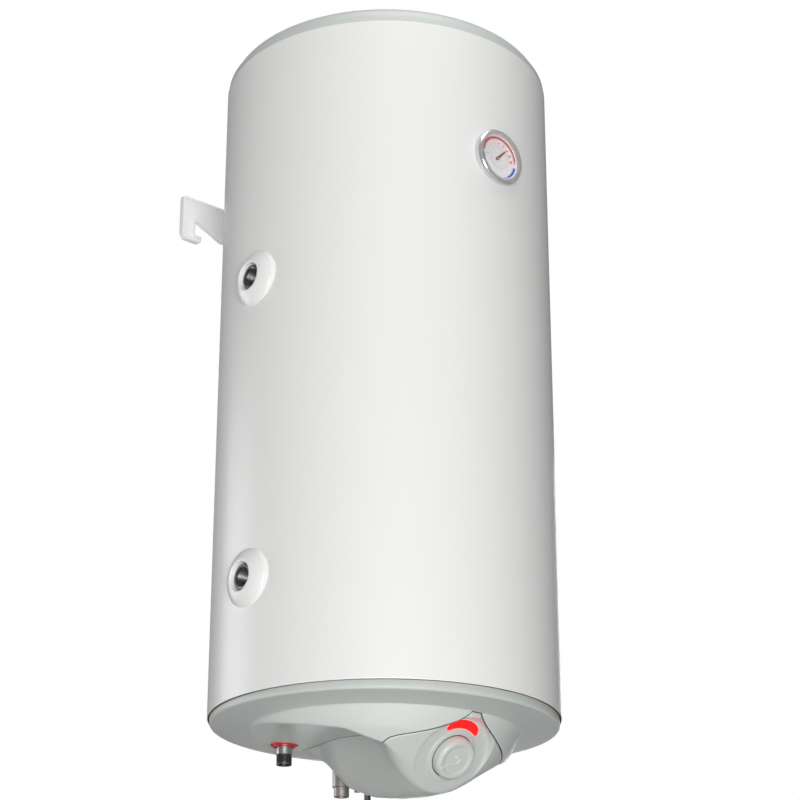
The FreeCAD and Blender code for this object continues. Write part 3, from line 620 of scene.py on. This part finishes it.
def make_window():
    """Red lens: a crescent above the knob with rounded ends."""
    outer_r, inner_r, rise, half = 42.0, 38.0, 8.0, 25.5
    x = half * np.sin(np.linspace(-math.pi / 2, math.pi / 2, 61))
    high = rise + np.sqrt(outer_r ** 2 - x ** 2)
    low = np.sqrt(inner_r ** 2 - x ** 2)
    ends = np.clip(1 - (np.abs(x) / half) ** 10, 0, 1) ** 0.5
    mid, half_band = (high + low) / 2, (high - low) / 2 * ends
    vertices = []
    for lift, shrink in ((-2.0, 0.0), (0.3, 0.0), (0.6, 0.35), (0.7, 1.0)):
        band = np.maximum(half_band - shrink, 0.02)
        squeeze = 1 - shrink / half
        loop = [(a * squeeze, m - b) for a, m, b in zip(x, mid, band)]
        loop += [(a * squeeze, m + b) for a, m, b in zip(x[::-1], mid[::-1], band[::-1])]
        vertices += [(a, b, lift) for a, b in loop]
    count = 2 * len(x)
    faces = grid_faces(4, count, wrap=True)
    top = 3 * count
    faces += [(top + i, top + i + 1, top + count - 2 - i, top + count - 1 - i) for i in range(len(x) - 1)]
    window = piece("glow_window", vertices, faces, RED_LENS, sharp=60,
                   place=frame_at(*KNOB_AT, KNOB_TILT))
    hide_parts("indicator_window")


KNOB_R = 28.0
KNOB_BASE = 2.1
KNOB_TOP = 13.9
KNOB_BOWL = 1.3                           # depth of the hollow in the knob's face
KNOB_RIDGE = 1.25                         # height of the raised line
CURL = [(-21, -15.5), (-15, -11.5), (-9, -8.2), (-4, -7.0), (1, -5.6), (4.5, -2.6), (6.0, 1.2), (4.6, 4.6),
        (1.6, 6.2), (-1.4, 5.4), (-3.0, 3.4)]


def curl_line():
    """The raised line on the knob's face, through its corners and smoothed."""
    spots = np.linspace(0, len(CURL) - 1, 90)
    corners = np.array(CURL)
    line = np.stack([np.interp(spots, range(len(CURL)), corners[:, k]) for k in (0, 1)], 1)
    padded = np.pad(line, ((4, 4), (0, 0)), mode="edge")
    return np.stack([np.convolve(padded[:, k], np.ones(9) / 9, mode="valid") for k in (0, 1)], 1)


def make_knob():
    """Round knob with a wide chamfer, a hollow face and a raised line that curls into a hook."""
    line = curl_line()
    height = KNOB_TOP - KNOB_BASE
    rings = [(radius, 0.0) for radius in np.linspace(0.3, 24.4, 110)]
    rings += [(24.9, 0.1), (25.4, 0.45), (25.9, 1.0), (26.5, 1.75), (27.1, 2.5), (27.6, 3.2), (27.9, 3.9),
              (KNOB_R, 4.6), (KNOB_R, 6.0), (KNOB_R, height - 0.5), (27.6, height), (20.0, height)]
    segments = 240
    turn = np.linspace(0, 2 * math.pi, segments, endpoint=False)
    vertices = []
    for radius, drop in rings:
        x, y = radius * np.cos(turn), radius * np.sin(turn)
        away = np.sqrt(((x[:, None] - line[:, 0]) ** 2 + (y[:, None] - line[:, 1]) ** 2).min(1))
        ridge = KNOB_RIDGE * np.exp(-(away / 0.8) ** 2) * (drop < 0.5)
        bowl = KNOB_BOWL * (1 - step(radius, 17.5, 21.5))
        vertices += list(zip(x, y, KNOB_TOP - drop + ridge - bowl))
    vertices.append((0, 0, KNOB_TOP - KNOB_BOWL))
    hub = len(vertices) - 1
    faces = grid_faces(len(rings), segments, wrap=True)
    faces += [(hub, k, (k + 1) % segments) for k in range(segments)]
    place = frame_at(*KNOB_AT, KNOB_TILT)
    knob = piece("knob", vertices, faces, KNOB_GREY, "thermostat_control", sharp=38,
                 place=place)
    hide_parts("thermostat_knob")

    # Black ring in the gap round the knob's foot: painted shade, standing in for the shadow in that gap.
    low, high = PLATEAU_H - 0.4, PLATEAU_H + 0.12
    groove = [(28.2, low), (28.2, high), (29.3, high), (29.3, low)]
    turned_piece("knob_gap_shade", groove, BLACK_PLASTIC, place, segments=160)


# ================================================================ thermometer
DIAL_Z = -2.7
PRINT_Z = 3.1                             # underside of the glass
PRINT_R = 29.2
PRINT_H = 0.12
DOTS_R = 21.5
NEEDLE_ANGLE = 45.0


def print_material(name, colour):
    return surface(name, colour, 0.08, 1500.0, 0.000004, (0.4, 0.5))


def flat_ring(name, radius, width, start, end, material, place, taper=0.0):
    """A printed arc as a thin raised band; taper narrows it towards its end."""
    count = max(8, int(abs(end - start) / 2))
    vertices = []
    for k in range(count + 1):
        angle = math.radians(start + (end - start) * k / count)
        half = width / 2 * (1 - taper * k / count)
        inside, outside = radius - half, radius + half
        for r, z in ((inside, 0), (inside, PRINT_H), (outside, PRINT_H), (outside, 0)):
            vertices.append((r * math.cos(angle), r * math.sin(angle), z))
    faces = [(4 * k + i, 4 * k + (i + 1) % 4, 4 * k + 4 + (i + 1) % 4, 4 * k + 4 + i)
             for k in range(count) for i in range(4)]
    faces += [(0, 1, 2, 3), (4 * count + 3, 4 * count + 2, 4 * count + 1, 4 * count)]
    piece(name, vertices, faces, material, place=place)


def make_thermometer():
    """Chrome rim, white cup, dial with its print under a clear lens, and the needle."""
    centre = joint("thermometer_turn")[1]
    place = frame_at(0, centre.y, centre.z, 90)
    print_place = frame_at(0, centre.y - PRINT_Z, centre.z, 90)

    trim = surface("bezel_trim", (0.80, 0.81, 0.82), 0.05, 900.0, 0.000004, (0.05, 0.12), Alpha=0.50,
                   Metallic=0.8)
    bezel = [(33.2, 6.8), (33.4, -4.0), (39.6, -4.0), (40.0, 2.4)]
    bezel += arc((40.0, 2.4), (38.9, 6.8), (35.4, 8.9), 8) + [(34.6, 9.0), (33.6, 8.6), (33.2, 7.6)]
    turned_piece("thermometer_rim", bezel, trim, place, segments=160, node="thermometer_bezel")

    case_white = surface("case_white", (0.82, 0.82, 0.82), 0.03, 1200.0, 0.000008, (0.3, 0.4))
    case = [(0.01, -3.4), (29.6, -3.4), (30.2, -2.9), (32.6, 0.6), (33.1, 2.4), (33.3, 2.6), (33.3, -14.0),
            (0.01, -14.0)]
    turned_piece("thermometer_cup", case, case_white, place, segments=160,
                 node="thermometer_case")

    paper = surface("dial_white", (0.88, 0.88, 0.88), 0.02, 1500.0, 0.000003, (0.45, 0.55))
    face = [(0.01, DIAL_Z - 0.02), (29.3, DIAL_Z - 0.02), (29.3, -3.4), (0.01, -3.4)]
    turned_piece("thermometer_face", face, paper, place, segments=160,
                 node="thermometer_dial")
    glass = [(0.01, 5.4), (30, 5.2), (33.0, 4.8), (33.1, 3.4), (0.01, 3.4)]
    turned_piece("thermometer_lens", glass, LENS, place, segments=160,
                 node="thermometer_glass")

    red = print_material("print_red", (0.75, 0.02, 0.02))
    red_pale = print_material("print_red_pale", (0.80, 0.25, 0.22))
    blue = print_material("print_blue", (0.02, 0.06, 0.62))
    blue_pale = print_material("print_blue_pale", (0.35, 0.45, 0.85))
    line = print_material("print_line", (0.80, 0.62, 0.60))
    arcs = (("red", 2.9, 8, 120, red, 0.0), ("red_left", 4.2, 172, 120, red, 0.35),
            ("red_tip", 2.9, 8, -2, red_pale, 0.5), ("blue_left", 4.0, 184, 232, blue, 0.5),
            ("blue_left_end", 1.8, 232, 248, blue_pale, 0.8), ("blue_right", 4.0, -14, -58, blue, 0.5),
            ("blue_right_end", 1.8, -58, -78, blue_pale, 0.8))
    for name, width, start, end, ink, taper in arcs:
        flat_ring("dial_arc_" + name, PRINT_R, width, start, end, ink, print_place, taper)
    flat_ring("dial_line", 16.0, 0.5, 0, 359, line, print_place)
    for index, size in enumerate((0.9, 0.5, 0.6, 0.7, 0.9, 1.0, 1.3, 1.5, 1.7)):
        angle = math.radians(180 - 22.5 * index)
        spot = print_place @ Matrix.Translation((DOTS_R * math.cos(angle), DOTS_R * math.sin(angle), 0))
        turned_piece(f"dial_dot_{index + 1}", [(0.01, 0.14), (size, 0.14), (size + 0.05, 0), (0.01, 0)],
                     blue if index == 0 else red, spot, segments=20)

    needle_place = frame_at(0, centre.y - DIAL_Z - 1.4, centre.z, 90) @ Matrix.Rotation(
        math.radians(NEEDLE_ANGLE), 4, "Z")
    blade = [(-1.6, -2.1), (-2.2, -1.2), (-2.3, 1.2), (-1.6, 2.1), (0.0, 2.2), (22.2, 0.9), (22.9, 0.5),
             (22.9, -0.5), (22.2, -0.9), (0.0, -2.2)]
    vertices = [(x, y, z) for z in (0, 0.7) for x, y in blade]
    count = len(blade)
    faces = [tuple(range(count)), tuple(range(2 * count - 1, count - 1, -1))]
    faces += [(i, (i + 1) % count, count + (i + 1) % count, count + i) for i in range(count)]
    needle = piece("thermometer_pointer_blade", vertices, faces, NEEDLE_RED, "thermometer_pointer",
                   place=needle_place)
    bevelled(needle, 0.12)
    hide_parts("thermometer_needle")


# ================================================================ coil ports
THREAD_PITCH = 1.814
RING_STEPS = 96                           # points round a threaded or turned wall


def threads(radius, height, depth, start, inner=False):
    """Rows of a helical thread whose groove is depth deep and runs out at both ends."""
    rows = []
    count = int(height / THREAD_PITCH * 10)
    for i in range(count + 1):
        z = start + height * i / count
        runout = min(1.0, (z - start) / THREAD_PITCH, (start + height - z) / THREAD_PITCH)
        row = []
        for k in range(RING_STEPS):
            angle = 2 * math.pi * k / RING_STEPS
            phase = ((z - start) / THREAD_PITCH - k / RING_STEPS) % 1.0
            groove = depth * (1 - abs(2 * phase - 1)) * runout
            r = radius + groove if inner else radius - groove
            row.append((r * math.cos(angle), r * math.sin(angle), z))
        rows.append(row)
    return rows


def ring_row(radius, z):
    """A level ring of points."""
    angles = [2 * math.pi * k / RING_STEPS for k in range(RING_STEPS)]
    return [(radius * math.cos(angle), radius * math.sin(angle), z) for angle in angles]


def ring_rows(profile):
    """Rings for a list of (radius, height)."""
    return [ring_row(radius, z) for radius, z in profile]


def tube_piece(name, rows, material, place, node=None, sharp=30):
    """A closed skin through rings of equal count; the last ring joins the first."""
    vertices = [v for row in rows for v in row]
    segments = len(rows[0])
    faces = grid_faces(len(rows), segments, wrap=True)
    last = (len(rows) - 1) * segments
    faces += [(last + k, last + (k + 1) % segments, (k + 1) % segments, k) for k in range(segments)]
    thing = piece(name, vertices, faces, material, sharp=sharp, place=place)
    if node:
        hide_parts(node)


def make_ports():
    """White cones round the two coil sockets, and the threaded steel sockets inside them."""
    for name in ("lower", "upper"):
        z = middle(name + "_port_rosette").z
        place = frame_at(-CASING_R, 0, z, 0, -90)
        cone = [(19.0, -11.0), (19.0, 11.4), (19.4, 12.3), (20.2, 12.9), (21.4, 13.0)]
        cone += arc((21.4, 13.0), (30.5, 8.6), (36.9, 3.3), 12)
        cone += [(37.8, 2.4), (38.3, 1.2), (38.5, 0.0), (38.5, -3.6), (22.0, -4.0), (21.6, -11.0)]
        turned_piece(name + "_port_cone", cone, PORT_WHITE, place, segments=160,
                     node=name + "_port_rosette")
        face, foot = 8.0, -26.0
        rows = ring_rows([(16.5, foot), (16.5, face - 0.8), (16.2, face - 0.2), (15.7, face), (13.4, face),
                          (13.0, face - 0.3)])
        rows += threads(12.1, 20.0, 0.75, face - 21.0, inner=True)[::-1]
        rows += ring_rows([(9.0, face - 22.0), (9.0, foot)])
        # The nut's dark steel is partly painted shade for the shadowed bore.
        tube_piece(name + "_port_nut", rows, SHADE_DARKENED_STEEL, place, name + "_port_socket")


# ================================================================ wall strap
HOOK = [(180, 805, 5), (180, 736, 10), (146, 736, 4), (146, 747, 1), (157, 747, 1.2), (157, 769, 3),
        (151, 769, 1), (108, 751, 6)]


def strap_ring(inset, y):
    """The strap's outline drawn in by inset, as points at one depth."""
    corners = [(-x, z, r) for x, z, r in HOOK] + [(x, z, r) for x, z, r in HOOK[::-1]]
    count = len(corners)
    moved = []
    for i, (x, z, radius) in enumerate(corners):
        here = Vector((x, z))
        back_way = (here - Vector(corners[i - 1][:2])).normalized()
        onward = (Vector(corners[(i + 1) % count][:2]) - here).normalized()
        side_a, side_b = Vector((back_way.y, -back_way.x)), Vector((onward.y, -onward.x))
        shift = (side_a + side_b) / (1 + side_a.dot(side_b))
        bend = back_way.x * onward.y - back_way.y * onward.x
        own = radius - inset * (1 if bend > 0 else -1)
        moved.append((*(here - shift * inset), max(own, 0.25)))
    return [(a, y, b) for a, b in rounded(moved, 1.0, 6)]


def make_strap():
    """Pressed strap with an inward hook at each end, rounded edges and a shallow panel on its front."""
    low, high = span("wall_strap")
    front, back = low.y, high.y
    rings = [(2.6, front + 5.5), (2.5, back), (0.3, back), (0.0, back - 0.3), (0.0, front + 1.0),
             (0.3, front + 0.3), (1.0, front), (3.4, front), (3.9, front + 0.5), (4.6, front + 3.2)]
    vertices = []
    for inset, y in rings:
        vertices += strap_ring(inset, y)
    count = len(strap_ring(0.0, front))
    faces = grid_faces(len(rings), count, wrap=True)
    last = (len(rings) - 1) * count
    faces += [tuple(range(count)), tuple(range(last + count - 1, last - 1, -1))]
    strap = piece("strap_plate", vertices, faces, STRAP_COAT, sharp=25)
    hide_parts("wall_strap")


# ================================================================ water pipes and the safety valve
def make_pipes():
    """Threaded end and plain wall of the hot pipe, and the coloured collars of both pipes."""
    hot = middle("hot_rosette")
    low, high = (corner.z for corner in span("hot_outlet_pipe"))
    upright = frame_at(hot.x, hot.y, 0)
    bore, thread_start, thread_length = 8.0, low + 1.5, 12.4
    thread_end = thread_start + thread_length
    end = ring_rows([(bore, low + 0.6), (8.4, low), (9.9, low), (10.4, low + 0.5), (10.45, low + 1.4),
                     (9.2, thread_start), (bore, thread_start)])
    tube_piece("hot_pipe_end", end, SHADE_DARKENED_STEEL, upright)
    thread = threads(10.55, thread_length, 1.0, thread_start)
    thread += ring_rows([(bore, thread_end), (bore, thread_start)])
    tube_piece("hot_pipe_thread", thread, THREAD_DARK, upright)
    wall = ring_rows([(bore, thread_end), (10.3, thread_end), (10.65, thread_end + 0.6), (10.65, high),
                      (bore, high)])
    tube_piece("hot_pipe_wall", wall, PIPE_STEEL, upright, "hot_outlet_pipe")
    for name, material, slot in (("hot", RED_PLASTIC, "red_plastic"), ("cold", BLUE_PLASTIC, "blue_plastic")):
        centre = middle(name + "_rosette")
        bottom = span(name + "_rosette")[0].z
        hole = 11.0 if name == "hot" else 12.8
        collar = [(hole, bottom + 6), (hole, bottom + 0.4), (hole + 0.5, bottom), (14.2, bottom),
                  (14.8, bottom + 0.4), (15.0, bottom + 1.2), (15.2, bottom + 1.9), (17.6, bottom + 2.2),
                  (18.3, bottom + 2.8), (18.5, bottom + 3.6), (18.5, bottom + 8), (hole, bottom + 8)]
        turned_piece(name + "_collar", collar, material, frame_at(centre.x, centre.y, 0),
                     segments=96, node=name + "_rosette")


def make_valve():
    """Safety valve on the cold pipe: threaded barrel, side branch with its cap, and drain spout."""
    x, y = middle("cold_rosette").x, middle("cold_rosette").y
    low, high = (corner.z for corner in span("valve_body"))
    level = middle("valve_bonnet").z
    collar_end = low + 13.0
    rows = ring_rows([(6.6, low + 12), (7.2, low + 0.9), (8.4, low), (9.8, low), (10.3, low + 0.6),
                      (10.35, low + 1.2)])
    rows += threads(10.48, 10.6, 0.25, low + 1.2)
    rows += ring_rows([(10.2, collar_end - 1.1), (10.0, collar_end - 0.5), (11.2, collar_end - 0.2),
                       (12.1, collar_end), (12.5, collar_end + 0.6), (12.5, high - 1), (12.1, high),
                       (6.6, high)])
    tube_piece("valve_barrel", rows, VALVE_METAL, frame_at(x, y, 0), "valve_body")

    sideways = frame_at(x, y, level, 0, 90)
    branch = [(3.2, 8), (8.0, 8), (8.0, 30.5), (7.6, 31.4), (7.0, 31.8), (7.0, 33.6), (3.2, 33.6)]
    turned_piece("valve_branch", branch, VALVE_METAL, sideways, segments=72)
    bonnet = [(3.2, 34.0), (8.3, 34.0), (9.0, 34.7), (9.0, 36.4), (8.6, 36.8), (8.6, 37.4), (9.0, 37.8),
              (9.0, 41.2), (8.2, 42.0), (3.2, 42.0)]
    turned_piece("valve_cap", bonnet, BLACK_PLASTIC, sideways, segments=12, sharp=20,
                 node="valve_bonnet")

    barbs = [(3.0, 0.3), (3.4, 0.0), (4.1, 0.0), (4.5, 0.5), (4.5, 1.6), (4.1, 2.6), (4.1, 3.2), (4.5, 3.4),
             (4.5, 5.0), (4.1, 5.8), (4.1, 7.0), (5.6, 7.0), (6.0, 7.4)]
    spout_low, spout_reach = low + 10.5, 28
    spout = [(3.0, level)] + [(radius, spout_low + z) for radius, z in barbs] + [(6.0, level)]
    turned_piece("drain_spout", spout, VALVE_METAL, frame_at(x + spout_reach, y, 0),
                 segments=64)


def make_lever():
    """Relief lever: a flat arm that widens round its pin, with all its edges rounded."""
    near, far = (corner.y for corner in span("relief_lever"))
    pin = middle("lever_pin")
    build = bmesh.new()
    outline = [(-4.0, 3.6), (-4.4, 0.5), (-3.6, -2.4), (-2.2, -5.0), (-2.0, -24.0), (-1.2, -31.0),
               (0.2, -32.9), (2.2, -32.9), (3.0, -31.0), (2.6, -24.0), (3.0, -6.0), (4.4, -2.4), (4.7, 1.2),
               (3.8, 4.0), (1.4, 5.2), (-1.8, 5.0)]
    ring = [build.verts.new(at(pin.x + a, near, pin.z + b)) for a, b in rounded(outline, 1.2, 3)]
    side = build.faces.new(ring)
    grown = bmesh.ops.extrude_face_region(build, geom=[side])
    moved = [v for v in grown["geom"] if isinstance(v, bmesh.types.BMVert)]
    bmesh.ops.translate(build, verts=moved, vec=Vector((0, (far - near) * MM, 0)))
    bmesh.ops.recalc_face_normals(build, faces=build.faces)
    mesh = bpy.data.meshes.new("lever_arm")
    build.to_mesh(mesh)
    build.free()
    mesh.materials.append(BLACK_PLASTIC)
    smooth(mesh, 35)
    lever = link_to_scene(bpy.data.objects.new("lever_arm", mesh))
    bevelled(lever, 0.5, 3)
    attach(lever, "relief_lever_arm")
    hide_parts("relief_lever")


def make_gland():
    """Black cable gland: six-sided body with chamfered corners under a dome nut."""
    centre = middle("cable_gland")
    low = span("cable_gland")[0].z
    bore, corner_r = 3.5, 12.5
    rows = ring_rows([(bore, low + 20), (bore, low + 1.2), (4.1, low + 0.3), (5.0, low), (7.0, low + 0.4),
                      (8.3, low + 1.6), (9.2, low + 3.4), (10.2, low + 8.4), (10.2, low + 9.0)])
    for reach, z in ((10.8, low + 9.0), (corner_r, low + 10.2), (corner_r, low + 23.0), (11.0, low + 23.5)):
        row = []
        for k in range(RING_STEPS):
            angle = 2 * math.pi * k / RING_STEPS
            flat = 0.866 * corner_r / math.cos((angle % (math.pi / 3)) - math.pi / 6)
            radius = min(flat, reach)
            row.append((radius * math.cos(angle), radius * math.sin(angle), z))
        rows.append(row)
    rows.append(ring_row(bore, low + 23.5))
    tube_piece("gland", rows, BLACK_PLASTIC, frame_at(centre.x, centre.y, 0), "cable_gland",
               sharp=28)


# ================================================================ finishes of the CAD's own nodes
def finish_cad_nodes():
    """Gives every CAD node that stays visible the finish of its material slot."""
    finishes = {
        "casing_paint": WHITE_COAT, "strap_paint": STRAP_COAT, "cap_plastic": CAP_GREY,
        "cover_plastic": COVER_GREY, "knob_plastic": KNOB_GREY, "window_red": RED_LENS,
        "white_plastic": PORT_WHITE, "red_plastic": RED_PLASTIC, "blue_plastic": BLUE_PLASTIC,
        "pipe_steel": PIPE_STEEL, "nickel_brass": VALVE_METAL, "dark_plastic": BLACK_PLASTIC,
        "black_nylon": BLACK_PLASTIC, "zinc_steel": ZINC, "chrome": CHROME, "clear_lens": LENS,
        "needle_red": NEEDLE_RED,
        "lamp_glass": surface("lamp_glass", (0.7, 0.10, 0.05), 0.1, 400.0, 0.00001, (0.1, 0.2)),
        "tank_enamel": surface("tank_enamel", (0.05, 0.09, 0.20), 0.15, 300.0, 0.00003, (0.12, 0.2)),
        "bare_steel": metal("bare_steel", (0.42, 0.41, 0.40), (0.35, 0.5)),
        "copper_tube": metal("copper_tube", (0.72, 0.38, 0.24), (0.25, 0.4)),
        "anode_metal": metal("anode_metal", (0.55, 0.56, 0.57), (0.45, 0.6)),
        "spring_steel": metal("spring_steel", (0.50, 0.50, 0.52), (0.2, 0.3), (1, 1, 1)),
        "gasket_rubber": surface("gasket_rubber", (0.03, 0.03, 0.03), 0.3, 700.0, 0.00003, (0.6, 0.8)),
        "foam": surface("foam", (0.72, 0.62, 0.38), 0.2, 180.0, 0.0004, (0.8, 0.95)),
        "phenolic": surface("phenolic", (0.10, 0.06, 0.04), 0.25, 600.0, 0.00002, (0.35, 0.5)),
        "dial_print": surface("dial_plain", (0.85, 0.85, 0.84), 0.03, 1200.0, 0.000004, (0.4, 0.5))}
    slots = {part["node"]: part["material_slot"] for part in frame["record"]["subparts"]}
    for name, node in frame["nodes"].items():
        node.data.materials.clear()
        node.data.materials.append(finishes[slots[name]])
        smooth(node.data, 30)


# ================================================================ stage
def floor_paint():
    """Pale paint, evenly bright to the eye and clear from underneath."""
    material = surface("floor_paint", (0.82, 0.82, 0.82), 0.02, 60.0, 0.0001, (0.7, 0.8))
    tree = material.node_tree
    result = next(node for node in tree.nodes if node.type == "OUTPUT_MATERIAL").inputs["Surface"]
    painted = result.links[0].from_socket
    glow = tree.nodes.new("ShaderNodeEmission")
    glow.inputs["Color"].default_value = (0.88, 0.88, 0.88, 1)
    share = tree.nodes.new("ShaderNodeMath")
    share.operation = "MULTIPLY"
    share.inputs[1].default_value = 0.8
    tree.links.new(tree.nodes.new("ShaderNodeLightPath").outputs["Is Camera Ray"], share.inputs[0])
    above = mix_shaders(tree, share.outputs["Value"], painted, glow.outputs["Emission"])
    clear = tree.nodes.new("ShaderNodeBsdfTransparent").outputs["BSDF"]
    below = tree.nodes.new("ShaderNodeNewGeometry").outputs["Backfacing"]
    tree.links.new(mix_shaders(tree, below, above, clear), result)
    return material


def make_floor():
    """Plain pale floor, far below the wall-hung heater."""
    size, drop = 14.0, 3.2
    mesh = bpy.data.meshes.new("floor")
    mesh.from_pydata([(-size, -size, -drop), (size, -size, -drop), (size, size, -drop), (-size, size, -drop)],
                     [], [(0, 1, 2, 3)])
    mesh.materials.append(floor_paint())
    floor = link_to_scene(bpy.data.objects.new("floor", mesh))


FILL = 0.06                               # strength of the white surroundings as light
GLOSS = 0.25                              # and in reflections
KEY = 200.0                               # power of the lights, in watts
EDGE = 32.0
SIDE = 60.0
TOP = 22.0


def make_world():
    """White to the eye, a dim fill light, and brighter in reflections."""
    world = bpy.data.worlds.new("studio")
    world.use_nodes = True
    tree = world.node_tree
    tree.nodes.clear()

    def background(strength):
        node = tree.nodes.new("ShaderNodeBackground")
        node.inputs["Strength"].default_value = strength
        return node

    path = tree.nodes.new("ShaderNodeLightPath").outputs
    seen, fill, gloss = background(1.0), background(FILL), background(GLOSS)
    seen.inputs["Color"].default_value = (1, 1, 1, 1)
    light = mix_shaders(tree, path["Is Glossy Ray"], fill.outputs[0], gloss.outputs[0])
    mixed = mix_shaders(tree, path["Is Camera Ray"], light, seen.outputs[0])
    tree.links.new(mixed, tree.nodes.new("ShaderNodeOutputWorld").inputs["Surface"])
    bpy.context.scene.world = world


def soft_light(name, place, target, width, height, power):
    """A rectangular soft light that faces a target."""
    light = bpy.data.lights.new(name, "AREA")
    light.shape = "RECTANGLE"
    light.size, light.size_y = width, height
    light.energy = power
    thing = link_to_scene(bpy.data.objects.new(name, light))
    thing.location = place
    thing.rotation_mode = "QUATERNION"
    thing.rotation_quaternion = (Vector(target) - Vector(place)).to_track_quat("-Z", "Y")


def from_centre(azimuth, elevation, distance):
    """A place seen from the heater's middle; azimuth 0 is in front and 90 is to the right."""
    turn, rise = math.radians(azimuth), math.radians(elevation)
    away = Vector((math.sin(turn) * math.cos(rise), -math.cos(turn) * math.cos(rise), math.sin(rise)))
    return (CAD_BOX[0] + CAD_BOX[1]) / 2 + away * distance


def make_lights():
    centre = (CAD_BOX[0] + CAD_BOX[1]) / 2
    soft_light("key", from_centre(-36, -17, 5.0), centre, 2.6, 2.0, KEY)
    soft_light("edge", from_centre(-151, 0, 3.0), centre, 1.6, 2.0, EDGE)
    soft_light("side", from_centre(132, 5, 4.0), centre, 2.0, 2.0, SIDE)
    soft_light("top", from_centre(-20, 70, 2.2), centre, 1.4, 1.4, TOP)


CAMERA_AT = (-1.7885, -2.3124, -1.4055)
CAMERA_RIGHT = (0.7498, -0.6617, 0.0)
CAMERA_AHEAD = (0.6144, 0.6963, 0.3711)


def make_camera():
    """Below the heater and to its left, looking up at its underside."""
    data = bpy.data.cameras.new("camera")
    data.lens = 95.5
    data.sensor_width = 36.0
    data.clip_start, data.clip_end = 0.05, 60.0
    data.dof.use_dof = False
    camera = link_to_scene(bpy.data.objects.new("camera", data))
    ahead = Vector(CAMERA_AHEAD).normalized()
    up = Vector(CAMERA_RIGHT).cross(ahead).normalized()
    right = ahead.cross(up).normalized()
    turn = Matrix((right, up, -ahead)).transposed().to_4x4()
    camera.matrix_world = Matrix.Translation(CAMERA_AT) @ turn
    bpy.context.scene.camera = camera


finish_cad_nodes()
make_casing()
make_top_cap()
make_bottom_cap()
make_control_cover()
make_cover_screws()
make_window()
make_knob()
make_thermometer()
make_ports()
make_strap()
make_pipes()
make_valve()
make_lever()
make_gland()
make_floor()
make_world()
make_lights()
make_camera()
bpy.context.scene.view_settings.view_transform = "Standard"
